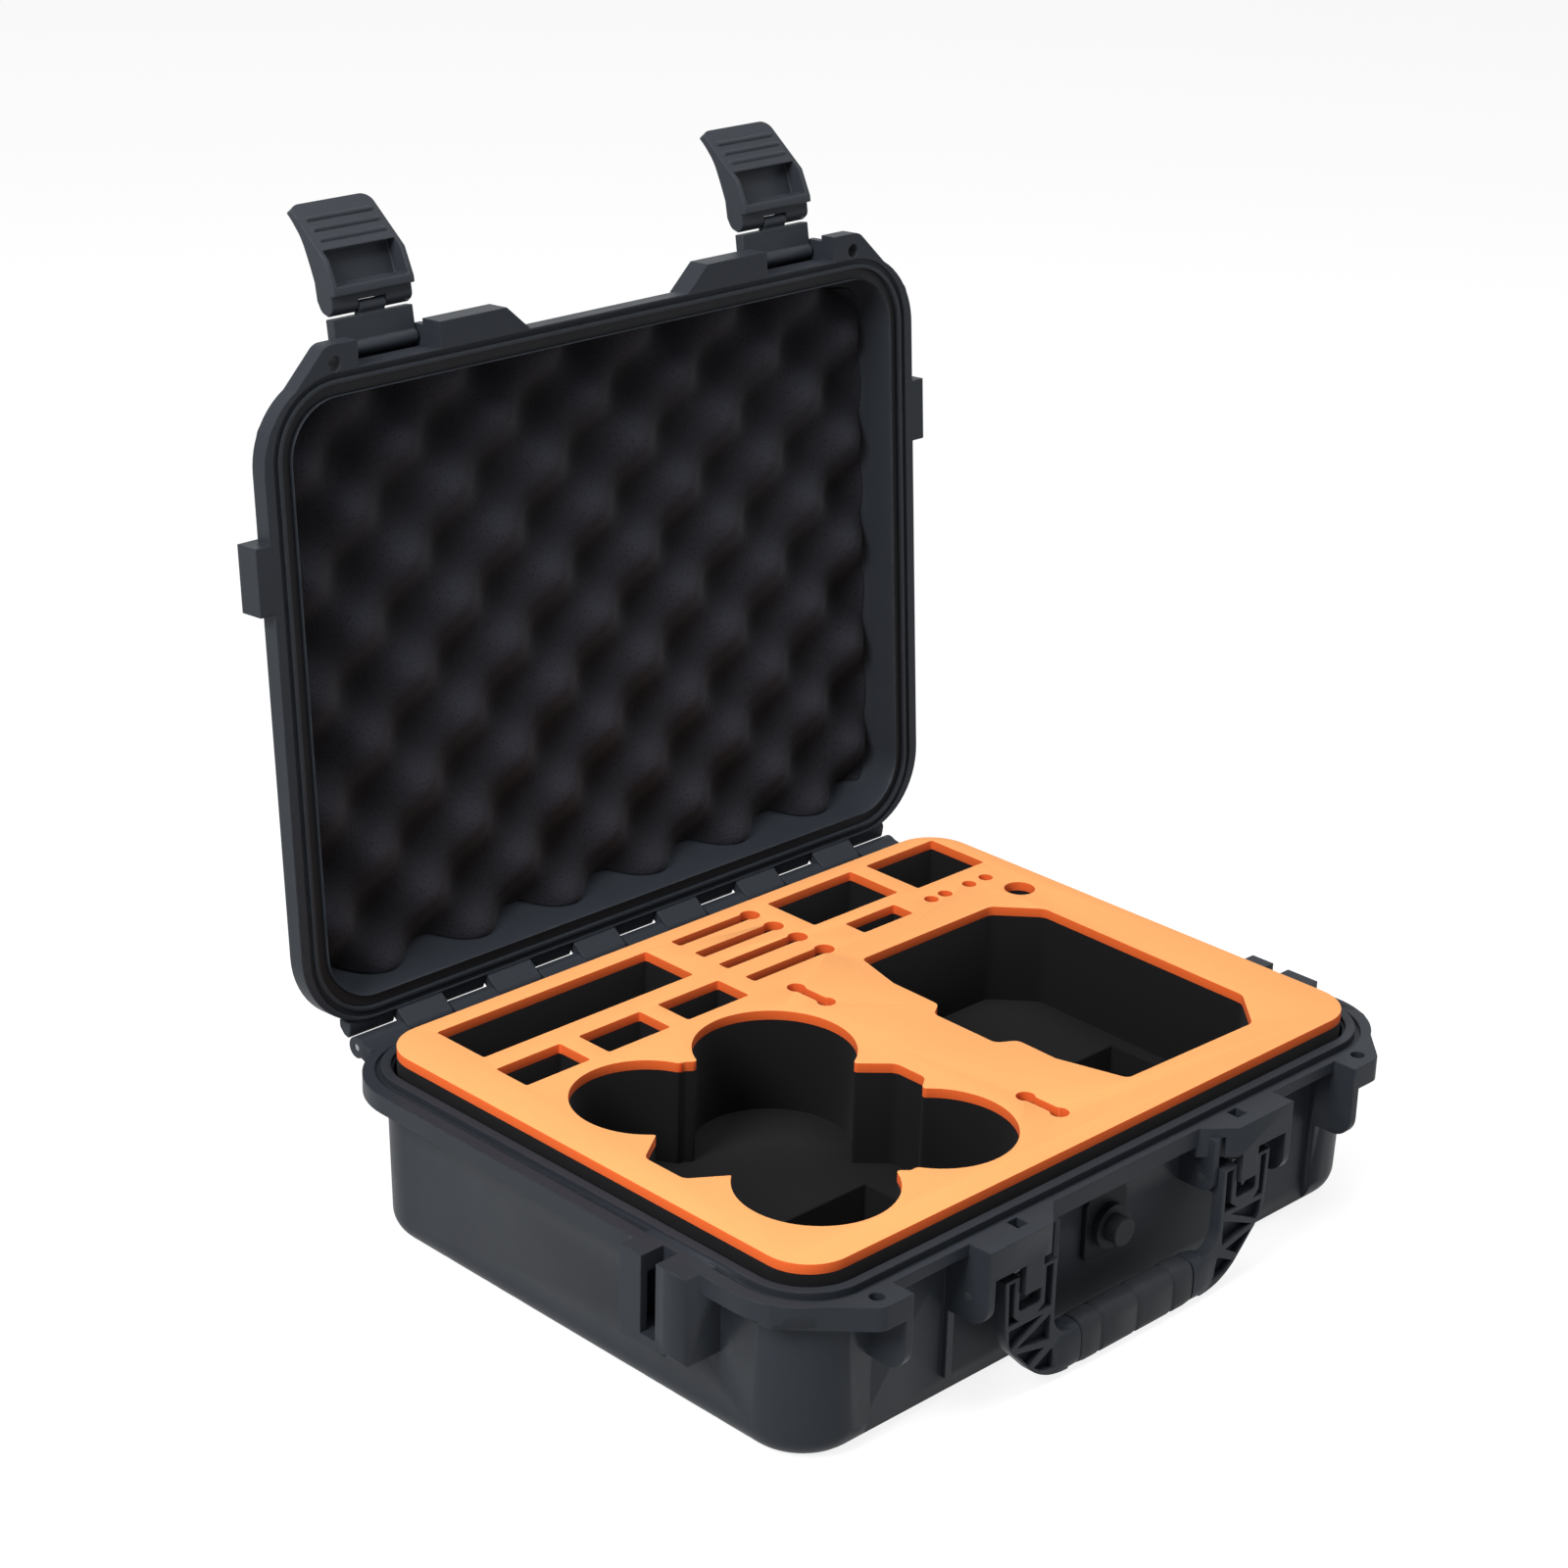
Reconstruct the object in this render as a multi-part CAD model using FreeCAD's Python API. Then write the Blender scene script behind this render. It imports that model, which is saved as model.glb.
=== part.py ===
"""Hard carrying case for a palm-size drone and its controller, lid open.

Frame: X runs along the hinge, Y from the handle to the hinge, Z up.
The origin is the centre of the flat underside. Millimetres.
"""
import FreeCAD, Part
import math
import os

from FreeCAD import Vector

X_AXIS = Vector(1, 0, 0)
Y_AXIS = Vector(0, 1, 0)
Z_AXIS = Vector(0, 0, 1)

# Foam contents, which set the size of the case
FOAM_X = 165.0
FOAM_Y = 124.2
FOAM_R = 20.0
FOAM_LOW_R = 25.0
FOAM_BEVEL = 6.0
FOAM_PROUD = 10.0
TOP_SHEET = 4.2
FOAM_GAP = 0.4
LEDGE_DEPTH = 46.0
LOWER_LAYER = 20.0
SLOT_DEPTH = 24.0

# Base shell
BASE_H = 74.0
WALL = 3.0
WALL_GAP = 2.0
DRAFT = math.tan(math.radians(1.1))
CORNER_R = 26.0
FOOT_R = 11.0
FRONT_RECESS = 4.0
RECESS_X = 134.0
RECESS_TOP = 10.0

# Rims of base and lid
FLANGE_OUT_X = 11.0
FLANGE_OUT_Y = 7.5
FLANGE_R = 35.0
FLANGE_T = 8.0
EAR_T = 10.0
PART_GAP = 0.3
RIDGE_W = 4.0
RIDGE_H = 2.0
RIDGE_OUT = 1.5
RIDGE_GAP = 0.5
GROOVE_W = 2.6
GROOVE_D = 1.6
SEAL_GAP = 0.35
LID_GROOVE_D = 4.6

# Lid shell
LID_H = 32.0
LID_DRAFT = math.tan(math.radians(5.0))
LID_WALL = 2.5
LID_EDGE_R = 19.0
LID_OPEN = 94.0

# Egg-crate pad in the lid
CREST_PITCH_X = 51.0
CREST_PITCH_Y = 24.5
CREST_R = 16.5
CREST_TOP_R = 7.0
CREST_SLAB = 7.0
CREST_RECESS = 11.5

# Hinge
HINGE_OUT = 8.9
HINGE_DROP = 2.5
BARREL_R = 4.7
KNUCKLES = 13
KNUCKLE_PITCH = 24.5
KNUCKLE_GAP = 0.6
HINGE_PIN_R = 1.6
RUN_GAP = 0.08

# Front ears, bumps and the padlock eyes
EAR_IN = 132.4
EAR_FRONT = 10.7
EAR_CORNER = 148.0
EAR_BACK_Y = 26.0
EYE_X = 144.0
EYE_Y = 139.5
EYE_R = 3.0
CHEEK_T = 3.6
BUMP_IN = 56.0
BUMP_OUT = 91.0
BUMP_CHAMFER = 12.5
BUMP_PLATE = 3.5
BUMP_H = 13.0
CHEEK_DROP = 33.0
SQUARE_HOLE = 6.0
SQUARE_X = 66.0
TAB_IN = 60.0
TAB_OUT = 70.0
TAB_DROP = 26.0

# Latches
LATCH_GAP = 0.6
LATCH_RISE = 16.0
LATCH_OUT = 3.1
LATCH_PIN_R = 1.6
LATCH_EYE_R = 3.2
LINK_T = 3.0
LINK_LEN = 16.0
LEVER_PIN_R = 1.2
LEVER_LEN = 55.0
LEVER_FLARE = 17.0
LEVER_T = 2.6
CATCH_T = 5.0
CATCH_D = 7.0
HOOK_GAP = 0.4
HOOK_IN = 5.4
HOOK_T = 2.6
WINDOW_X = 36.0
WINDOW_H = 14.0
LATCH_OPEN = 96.0

# Handle
HANDLE_PIVOT_OUT = 8.2
HANDLE_PIVOT_Z = 51.5
HANDLE_PIN_R = 2.0
ARM_IN = 51.5
ARM_OUT = 79.0
ARM_T = 11.0
ARM_RIB = 2.4
GRIP_X = 36.0
GRIP_Z = 12.0
GRIP_H = 20.0
GRIP_T = 13.0
GRIP_CORE_H = 12.0
GRIP_CORE_T = 7.0
GRIP_R = 5.5
GRIP_RINGS = 5
GRIP_RING_W = 1.2
GRIP_RING_D = 0.7

# Pressure valve
VALVE_Z = 44.0
VALVE_PLATE = 30.0
VALVE_PLATE_T = 2.4
VALVE_STEM_R = 4.0
VALVE_RING_R = 9.5
VALVE_RING_T = 4.0
KNOB_R = 6.0
KNOB_T = 6.0
O_RING_R = 1.0

# Shoulder strap brackets on both sides
BRACKET_Y = -60.0
BRACKET_W = 28.0
BRACKET_H = 41.0
BRACKET_OUT = 7.0
STRAP_SLOT_W = 8.0
STRAP_SLOT_H = 29.0

# Places worked out from the sizes above
WALL_X = FOAM_X + WALL_GAP + WALL
WALL_Y = FOAM_Y + WALL_GAP + WALL - 0.2
FLANGE_X = WALL_X + FLANGE_OUT_X
FLANGE_Y = WALL_Y + FLANGE_OUT_Y
FOAM_TOP = BASE_H + FOAM_PROUD
LEDGE_Z = FOAM_TOP - LEDGE_DEPTH
FLOOR_TOP = LEDGE_Z - LOWER_LAYER
FLOOR_Z = WALL + FOAM_GAP
RECESS_Y = WALL_Y - FRONT_RECESS
MATE_Z = BASE_H + PART_GAP
SEAL_T = LID_GROOVE_D + PART_GAP - RIDGE_H - SEAL_GAP
HINGE_Y = FLANGE_Y + HINGE_OUT
HINGE_Z = BASE_H - HINGE_DROP
FRONT_Y = FLANGE_Y + EAR_FRONT
LATCH_X = (EAR_IN + BUMP_OUT) / 2
LATCH_W = EAR_IN - BUMP_OUT - 2 * LATCH_GAP
LATCH_Y = FLANGE_Y + LATCH_OUT
LATCH_Z = MATE_Z + LATCH_RISE
HANDLE_Y = WALL_Y + HANDLE_PIVOT_OUT


def rect_wire(half_x, half_y, radius, z, y_mid=0.0):
    """A rounded rectangle as lines and quarter arcs, at height z."""
    edges = []
    corners = ((1, 1, 0), (-1, 1, 90), (-1, -1, 180), (1, -1, 270))
    ends = []
    for sign_x, sign_y, start in corners:
        centre = Vector(sign_x * (half_x - radius), y_mid + sign_y * (half_y - radius), z)
        points = []
        for turn in (0, 45, 90):
            angle = math.radians(start + turn)
            points.append(centre + Vector(math.cos(angle), math.sin(angle), 0) * radius)
        ends.append(points)
    for index, points in enumerate(ends):
        edges.append(Part.Arc(*points).toShape())
        following = ends[(index + 1) % 4][0]
        edges.append(Part.LineSegment(points[2], following).toShape())
    return Part.Wire(edges)


def rounded_block(half_x, half_y, radius, low, high, y_mid=0.0):
    face = Part.Face(rect_wire(half_x, half_y, radius, low, y_mid))
    return face.extrude(Vector(0, 0, high - low))


def tapered_block(bottom, top, low, high):
    """A block between two rounded rectangles (half x, half y, radius)."""
    wires = [rect_wire(*bottom, low), rect_wire(*top, high)]
    return Part.makeLoft(wires, True, True)


def box(x0, x1, y0, y1, z0, z1):
    return Part.makeBox(x1 - x0, y1 - y0, z1 - z0, Vector(x0, y0, z0))


def rod(start, end, radius):
    direction = end - start
    return Part.makeCylinder(radius, direction.Length, start, direction)


def prism_z(points, low, high):
    """A polygon in the XY plane, raised from low to high."""
    corners = [Vector(x, y, low) for x, y in points]
    face = Part.Face(Part.makePolygon(corners + corners[:1]))
    return face.extrude(Vector(0, 0, high - low))


def prism_x(points, x0, x1):
    """A polygon of (y, z) points, drawn along X."""
    corners = [Vector(x0, y, z) for y, z in points]
    face = Part.Face(Part.makePolygon(corners + corners[:1]))
    return face.extrude(Vector(x1 - x0, 0, 0))


def prism_y(points, y0, y1):
    """A polygon of (x, z) points, drawn along Y."""
    corners = [Vector(x, y0, z) for x, z in points]
    face = Part.Face(Part.makePolygon(corners + corners[:1]))
    return face.extrude(Vector(0, y1 - y0, 0))


def fuse(shapes):
    """One solid of several that touch."""
    joined = shapes[0].fuse(shapes[1:])
    return joined.removeSplitter()


def round_edges(solid, radius, chosen):
    edges = [edge for edge in solid.Edges if chosen(edge)]
    return solid.makeFillet(radius, edges)


def edges_at_z(height):
    """Picks the edges that lie wholly at one height."""
    def chosen(edge):
        box_z = edge.BoundBox
        return abs(box_z.ZMin - height) < 1e-4 and abs(box_z.ZMax - height) < 1e-4
    return chosen


def upright_edges(edge):
    return edge.BoundBox.ZLength > 1.0 and edge.BoundBox.XLength < 1e-4 and edge.BoundBox.YLength < 1e-4


def mirrored(solid):
    return solid.mirror(Vector(0, 0, 0), X_AXIS)


def both_sides(solid):
    return [solid, mirrored(solid)]


def opened(solid):
    """Turns a lid piece from shut to the open rest pose."""
    turned = solid.copy()
    turned.rotate(Vector(0, HINGE_Y, HINGE_Z), X_AXIS, -LID_OPEN)
    return turned


def latch_opened(solid):
    """Swings a latch piece up from shut, then opens it with the lid."""
    turned = solid.copy()
    turned.rotate(Vector(0, -LATCH_Y, LATCH_Z), X_AXIS, -LATCH_OPEN)
    return opened(turned)


def rim_ring(offset, width, low, high):
    """A band that follows the rim, centred at an offset from the wall."""
    outer = rounded_block(WALL_X + offset + width / 2, WALL_Y + offset + width / 2,
                          CORNER_R + offset + width / 2, low, high)
    inner = rounded_block(WALL_X + offset - width / 2, WALL_Y + offset - width / 2,
                          CORNER_R + offset - width / 2, low, high)
    return outer.cut(inner)


def ear_plate(low, high):
    """The corner plate with the padlock eye, on the +X side."""
    points = [(EAR_IN, -WALL_Y), (EAR_IN, -FRONT_Y), (EAR_CORNER, -FRONT_Y),
              (FLANGE_X - 3, -FLANGE_Y + EAR_BACK_Y - 7), (FLANGE_X - 3, -FLANGE_Y + EAR_BACK_Y),
              (WALL_X - 12, -FLANGE_Y + EAR_BACK_Y)]
    plate = prism_z(points, low, high)

    def front_corners(edge):
        return upright_edges(edge) and edge.BoundBox.XMin > EAR_CORNER - 1 and edge.BoundBox.YMin < -FLANGE_Y + 20
    return round_edges(plate, 7.0, front_corners)


def bump_plate(low, high):
    """The handle's housing between its chamfered side and the latch."""
    points = [(BUMP_IN - BUMP_CHAMFER, -WALL_Y), (BUMP_IN - BUMP_CHAMFER, -FLANGE_Y + 0.5),
              (BUMP_IN, -FRONT_Y), (BUMP_OUT, -FRONT_Y), (BUMP_OUT, -WALL_Y)]
    return prism_z(points, low, high)


def eye(low, high):
    return rod(Vector(EYE_X, -EYE_Y, low), Vector(EYE_X, -EYE_Y, high), EYE_R)


def cheek(x0, x1, y_back, low, high, corner, front=None):
    """An upright plate in front of the wall, its outer lower corner rounded."""
    y_front = -(FRONT_Y if front is None else front)
    plate = box(x0, x1, y_front, y_back, low, high)

    def lower_corner(edge):
        bound = edge.BoundBox
        return bound.XLength > 1 and bound.YLength < 1e-4 and bound.ZMin < low + 1e-4 and bound.YMin < y_front + 1e-4
    return round_edges(plate, corner, lower_corner)


def knuckle(x_mid, anchor_low, anchor_high):
    """One hinge knuckle: a barrel and its arm back to the rim's edge."""
    half = (KNUCKLE_PITCH - KNUCKLE_GAP) / 2
    axis = Vector(x_mid - half, HINGE_Y, HINGE_Z)
    barrel = Part.makeCylinder(BARREL_R, 2 * half, axis, X_AXIS)
    tilt = math.radians(38)
    root_y = FLANGE_Y - 1.0
    edge_y = FLANGE_Y + 0.4
    points = [(edge_y, anchor_low), (root_y, anchor_low), (root_y, anchor_high), (edge_y, anchor_high),
              (HINGE_Y - BARREL_R * math.sin(tilt), HINGE_Z + BARREL_R * math.cos(tilt)),
              (HINGE_Y, HINGE_Z),
              (HINGE_Y - BARREL_R * math.sin(tilt), HINGE_Z - BARREL_R * math.cos(tilt))]
    arm = prism_x(points, x_mid - half, x_mid + half)
    return barrel.fuse(arm)


def knuckle_places(parity):
    first = -(KNUCKLES - 1) / 2
    return [(first + index) * KNUCKLE_PITCH for index in range(KNUCKLES) if index % 2 == parity]


def hinge_bore(radius):
    half = KNUCKLES * KNUCKLE_PITCH / 2 + 5
    return rod(Vector(-half, HINGE_Y, HINGE_Z), Vector(half, HINGE_Y, HINGE_Z), radius)


def base_body():
    """The outer form of the base less its hollow."""
    shrink = BASE_H * DRAFT
    outer = tapered_block((WALL_X - shrink, WALL_Y - shrink, CORNER_R), (WALL_X, WALL_Y, CORNER_R), 0, BASE_H)
    outer = round_edges(outer, FOOT_R, edges_at_z(0))
    recess = box(-RECESS_X, RECESS_X, -WALL_Y - 5, -RECESS_Y, -1, BASE_H - RECESS_TOP)
    outer = outer.cut(recess)
    inner_low = (WALL_X - shrink - WALL, WALL_Y - shrink - WALL, CORNER_R - WALL)
    inner_high = (WALL_X - WALL, WALL_Y - WALL, CORNER_R - WALL)
    hollow = tapered_block(inner_low, inner_high, WALL, BASE_H + RIDGE_H + 1)
    hollow = round_edges(hollow, FOOT_R - WALL, edges_at_z(WALL))
    ledge = box(-RECESS_X - WALL, RECESS_X + WALL, -WALL_Y - 5, -RECESS_Y + WALL, 0, BASE_H - RECESS_TOP + WALL)
    return outer, hollow.cut(ledge)


def base_shell():
    outer, hollow = base_body()
    rim_low = BASE_H - FLANGE_T
    flange = rounded_block(FLANGE_X, FLANGE_Y, FLANGE_R, rim_low, BASE_H)
    ridge = rim_ring(RIDGE_OUT - WALL / 2, RIDGE_W, BASE_H - 1, BASE_H + RIDGE_H)
    ears = both_sides(ear_plate(BASE_H - EAR_T, BASE_H))
    bumps = both_sides(bump_plate(BASE_H - BUMP_H, BASE_H))
    ear_cheek = cheek(EAR_IN, EAR_IN + CHEEK_T, -RECESS_Y + 1, BASE_H - CHEEK_DROP, BASE_H - 1, 9.0)
    bump_cheek = cheek(BUMP_OUT - CHEEK_T, BUMP_OUT, -RECESS_Y + 1, BASE_H - CHEEK_DROP, BASE_H - 1, 9.0)
    inner_cheek = cheek(BUMP_IN - 9, BUMP_IN - 9 + CHEEK_T - 0.6, -RECESS_Y + 1,
                        HANDLE_PIVOT_Z - 6, BASE_H - 4, 5.5, HANDLE_Y + 5.8)
    ribs = []
    for x0 in (EAR_IN, BUMP_OUT - CHEEK_T):
        ribs.append(box(x0, x0 + CHEEK_T, -RECESS_Y - 2.4, -RECESS_Y + 1, FOOT_R, BASE_H - 5))
    pieces = [outer, flange, ridge] + ears + bumps
    for solid in [ear_cheek, bump_cheek, inner_cheek] + ribs:
        pieces += both_sides(solid)
    for x_mid in knuckle_places(0):
        pieces.append(knuckle(x_mid, rim_low, BASE_H))
    side = box(WALL_X - 4, FLANGE_X + BRACKET_OUT, BRACKET_Y - BRACKET_W / 2, BRACKET_Y + BRACKET_W / 2,
               BASE_H - BRACKET_H, BASE_H)
    pieces += both_sides(side)
    shell = fuse(pieces).cut(hollow)
    cuts = [rim_ring(RIDGE_OUT - WALL / 2 + RIDGE_W / 2 + GROOVE_W / 2, GROOVE_W, BASE_H - GROOVE_D, BASE_H + 1)]
    pocket_top = BASE_H - BUMP_PLATE - 0.5
    pocket = box(BUMP_IN - 5, BUMP_OUT - CHEEK_T, -FRONT_Y + BUMP_PLATE, -RECESS_Y, 0, pocket_top)
    cuts += both_sides(pocket)
    slot = box(WALL_X + 2.0, FLANGE_X + BRACKET_OUT + 1, BRACKET_Y - STRAP_SLOT_W / 2, BRACKET_Y + STRAP_SLOT_W / 2,
               BASE_H - BRACKET_H + 7, BASE_H - 5)
    behind = box(WALL_X + 2.0, WALL_X + FLANGE_OUT_X - 1.5, BRACKET_Y - BRACKET_W / 2 - 1,
                 BRACKET_Y + BRACKET_W / 2 + 1, BASE_H - BRACKET_H - 1, BASE_H - FLANGE_T)
    cuts += both_sides(slot) + both_sides(behind)
    cuts += both_sides(eye(BASE_H - EAR_T - 1, BASE_H + 1))
    square_y = -(FRONT_Y + FLANGE_Y) / 2 + 4
    cuts += both_sides(box(SQUARE_X - SQUARE_HOLE / 2, SQUARE_X + SQUARE_HOLE / 2, square_y - SQUARE_HOLE / 2,
                           square_y + SQUARE_HOLE / 2, pocket_top - 2, BASE_H + 1))
    cuts += both_sides(box(BUMP_OUT, EAR_IN, -FLANGE_Y - 1, -FLANGE_Y + CATCH_D, BASE_H - FLANGE_T - 1,
                           BASE_H - CATCH_T))
    cuts.append(hinge_bore(HINGE_PIN_R))
    half_pin = BUMP_OUT + 1
    cuts += both_sides(rod(Vector(BUMP_IN - 12, -HANDLE_Y, HANDLE_PIVOT_Z),
                           Vector(half_pin, -HANDLE_Y, HANDLE_PIVOT_Z), HANDLE_PIN_R))
    cuts.append(rod(Vector(0, -RECESS_Y - 3, VALVE_Z), Vector(0, -RECESS_Y + WALL + 1, VALVE_Z), VALVE_STEM_R))
    shell = shell.cut(cuts)
    tab = box(TAB_IN, TAB_OUT, -FRONT_Y, -FRONT_Y + BUMP_PLATE, BASE_H - TAB_DROP, BASE_H - BUMP_H + 1)
    return fuse([shell] + both_sides(tab))


def lid_form(inset, low=MATE_Z):
    """The lid's outer form, or the same form set in by a wall."""
    shrink = LID_H * LID_DRAFT
    top = MATE_Z + LID_H - inset
    rim = (WALL_X - inset, WALL_Y - inset, CORNER_R - inset)
    crown = (WALL_X - inset - shrink, WALL_Y - inset - shrink, CORNER_R - inset - shrink)
    return round_edges(tapered_block(rim, crown, low, top), LID_EDGE_R - inset, edges_at_z(top))


def lid_shell():
    outer = lid_form(0)
    hollow = lid_form(LID_WALL, MATE_Z - 1)
    rim_high = MATE_Z + FLANGE_T
    flange = rounded_block(FLANGE_X, FLANGE_Y, FLANGE_R, MATE_Z, rim_high)
    pieces = [outer, flange]
    pieces += both_sides(ear_plate(MATE_Z, rim_high))
    pieces += both_sides(bump_plate(MATE_Z, rim_high + 3))
    top = LATCH_Z + LATCH_EYE_R + 1.5
    for x0 in (EAR_IN, BUMP_OUT - CHEEK_T):
        plate = box(x0, x0 + CHEEK_T, -LATCH_Y - 5.0, -WALL_Y + 8, MATE_Z + 2, top)

        def upper_corner(edge):
            bound = edge.BoundBox
            return bound.XLength > 1 and bound.YLength < 1e-4 and bound.ZMin > top - 1e-4 and bound.YMax < -WALL_Y
        pieces += both_sides(round_edges(plate, 4.6, upper_corner))
    for x_mid in knuckle_places(1):
        pieces.append(knuckle(x_mid, MATE_Z, rim_high))
    side = box(WALL_X - 4, FLANGE_X + BRACKET_OUT, BRACKET_Y - BRACKET_W / 2, BRACKET_Y + BRACKET_W / 2,
               MATE_Z, MATE_Z + FLANGE_T + 4)
    pieces += both_sides(side)
    shell = fuse(pieces).cut(hollow)
    cuts = [rim_ring(RIDGE_OUT - WALL / 2, RIDGE_W + 2 * RIDGE_GAP, MATE_Z - 1, MATE_Z + LID_GROOVE_D)]
    cuts.append(rim_ring(RIDGE_OUT - WALL / 2 + RIDGE_W / 2 + 3.4, GROOVE_W, MATE_Z - 1, MATE_Z + GROOVE_D))
    cuts += both_sides(eye(MATE_Z - 1, rim_high + 1))
    cuts += both_sides(rod(Vector(BUMP_OUT - 6, -LATCH_Y, LATCH_Z), Vector(EAR_IN + 6, -LATCH_Y, LATCH_Z),
                           LATCH_PIN_R))
    cuts.append(hinge_bore(HINGE_PIN_R + RUN_GAP))
    return shell.cut(cuts)


def lid_seal():
    low = MATE_Z + LID_GROOVE_D - SEAL_T
    return rim_ring(RIDGE_OUT - WALL / 2, RIDGE_W + 2 * RIDGE_GAP - 0.2, low, MATE_Z + LID_GROOVE_D)


def crest_places():
    """Staggered crest centres over the whole pad, cut where they cross its edge."""
    places = []
    rows = int(WALL_Y / CREST_PITCH_Y)
    for row in range(-rows, rows + 1):
        shift = CREST_PITCH_X / 2 if row % 2 else 0.0
        columns = int((WALL_X - shift) / CREST_PITCH_X)
        for column in range(-columns - row % 2, columns + 1):
            places.append((column * CREST_PITCH_X + shift, row * CREST_PITCH_Y))
    return places


def lid_foam():
    """The egg-crate pad glued in the lid, crests towards the contents."""
    space = lid_form(LID_WALL + FOAM_GAP)
    back = MATE_Z + LID_H - LID_WALL - FOAM_GAP
    valley = back - CREST_SLAB
    front = MATE_Z + CREST_RECESS
    reach = WALL_X + 1
    slab = box(-reach, reach, -reach, reach, valley, back + 1)
    crests = []
    for x, y in crest_places():
        crests.append(Part.makeCone(CREST_R, CREST_TOP_R, valley + 1 - front, Vector(x, y, valley + 1),
                                    Vector(0, 0, -1)))
    return space.common(slab.fuse(crests))


def disc(x, y, radius, low, high):
    return Part.makeCylinder(radius, high - low, Vector(x, y, low), Z_AXIS)


def drone_well(low, high):
    """Four lobes for the propeller guards round the body's space."""
    lobes = [(-114.5, 16.0, 31.5), (-47.0, 13.0, 34.0), (-114.0, -78.0, 32.5), (-48.0, -78.0, 33.0)]
    shapes = [disc(x, y, radius, low, high) for x, y, radius in lobes]
    body = [(-134, -10), (-149, -20), (-149, -42), (-134, -52), (-116, -62), (-79, -96), (-48, -70),
            (-34, -56), (-20, -46), (-20, -30), (-33, -18), (-48, 0), (-84, 29), (-112, 6)]
    return fuse(shapes + [prism_z(body, low, high)])


def controller_well(low, high):
    points = [(40, 48), (122, 48), (138.5, 30), (136, -84), (118, -103.5), (41, -101), (32, -70), (32.5, -49),
              (24, -44), (24.5, -9), (32.5, -4), (33, 22.5)]
    return prism_z(points, low, high)


def small_wells(low, high):
    spaces = [(-141, -25, 85, 115), (-144, -110, 55, 74), (-100, -66, 55, 74), (-56, -21, 55, 74),
              (49, 102, 86, 116), (112, 156, 83, 116), (60, 91, 66, 78)]
    shapes = [box(x0, x1, y0, y1, low, high) for x0, x1, y0, y1 in spaces]
    for x, y in ((108, 71), (117, 71), (133, 71), (144, 71)):
        shapes.append(disc(x, y, 3.3, low, high))
    shapes.append(disc(146.5, 52.5, 7.0, low, high))
    return shapes


def blade_slots(low, high):
    """Keyhole slots for propeller blades and for the two small tools."""
    shapes = []
    for y in (112.5, 97.5, 82.5, 66.0):
        shapes.append(box(-10, 36, y - 3, y + 3, low, high).fuse(disc(35, y, 4.5, low, high)))
    for x, y in ((-1, 38), (-2, -93)):
        shapes.append(box(x - 2.5, x + 2.5, y - 9, y + 9, low, high).fuse(
            [disc(x, y - 9, 4.0, low, high), disc(x, y + 9, 4.0, low, high)]))
    return shapes


def foam_blank(low, high, bevel=0.0):
    """One layer of the insert, notched where the front wall steps in."""
    radius = FOAM_R if high > BASE_H else FOAM_LOW_R
    blank = rounded_block(FOAM_X, FOAM_Y, radius, low, high)
    if bevel:
        chosen = edges_at_z(low)
        blank = blank.makeChamfer(bevel, [edge for edge in blank.Edges if chosen(edge)])
    notch_top = BASE_H - RECESS_TOP + WALL + FOAM_GAP
    if low < notch_top:
        half = RECESS_X + WALL + FOAM_GAP
        blank = blank.cut(box(-half, half, -FOAM_Y - 1, -RECESS_Y + WALL + FOAM_GAP, low - 1, notch_top))
    return blank


def foam_top_sheet():
    low = FOAM_TOP - TOP_SHEET
    tools = [drone_well(low - 1, FOAM_TOP + 1), controller_well(low - 1, FOAM_TOP + 1)]
    tools += small_wells(low - 1, FOAM_TOP + 1) + blade_slots(low - 1, FOAM_TOP + 1)
    return foam_blank(low, FOAM_TOP).cut(tools)


def foam_upper_layer():
    high = FOAM_TOP - TOP_SHEET
    tools = [drone_well(LEDGE_Z - 1, high + 1), controller_well(LEDGE_Z - 1, high + 1)]
    tools += small_wells(LEDGE_Z - 1, high + 1) + blade_slots(high - SLOT_DEPTH, high + 1)
    return foam_blank(LEDGE_Z, high).cut(tools)


def foam_lower_layer():
    blank = foam_blank(FLOOR_TOP, LEDGE_Z)
    camera = prism_z([(-105, -34), (-40, -34), (-40, -105), (-105, -105)], FLOOR_TOP - 1, LEDGE_Z + 1)
    sticks = prism_z([(55, -20), (130, -20), (130, -95), (55, -95)], FLOOR_TOP - 1, LEDGE_Z + 1)
    return blank.cut([camera, sticks])


def foam_floor_layer():
    return foam_blank(FLOOR_Z, FLOOR_TOP, FOAM_BEVEL)


def hinge_pin():
    half = KNUCKLES * KNUCKLE_PITCH / 2 - KNUCKLE_GAP
    return rod(Vector(-half, HINGE_Y, HINGE_Z), Vector(half, HINGE_Y, HINGE_Z), HINGE_PIN_R)


def latch_point(u, v):
    """A (y, z) point: u down from the latch pin, v outward."""
    return (-LATCH_Y - v, LATCH_Z - u)


def latch_prism(points, x0, x1):
    return prism_x([latch_point(u, v) for u, v in points], x0, x1)


def latch_rod(u, v, x0, x1, radius):
    y, z = latch_point(u, v)
    return rod(Vector(x0, y, z), Vector(x1, y, z), radius)


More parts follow.
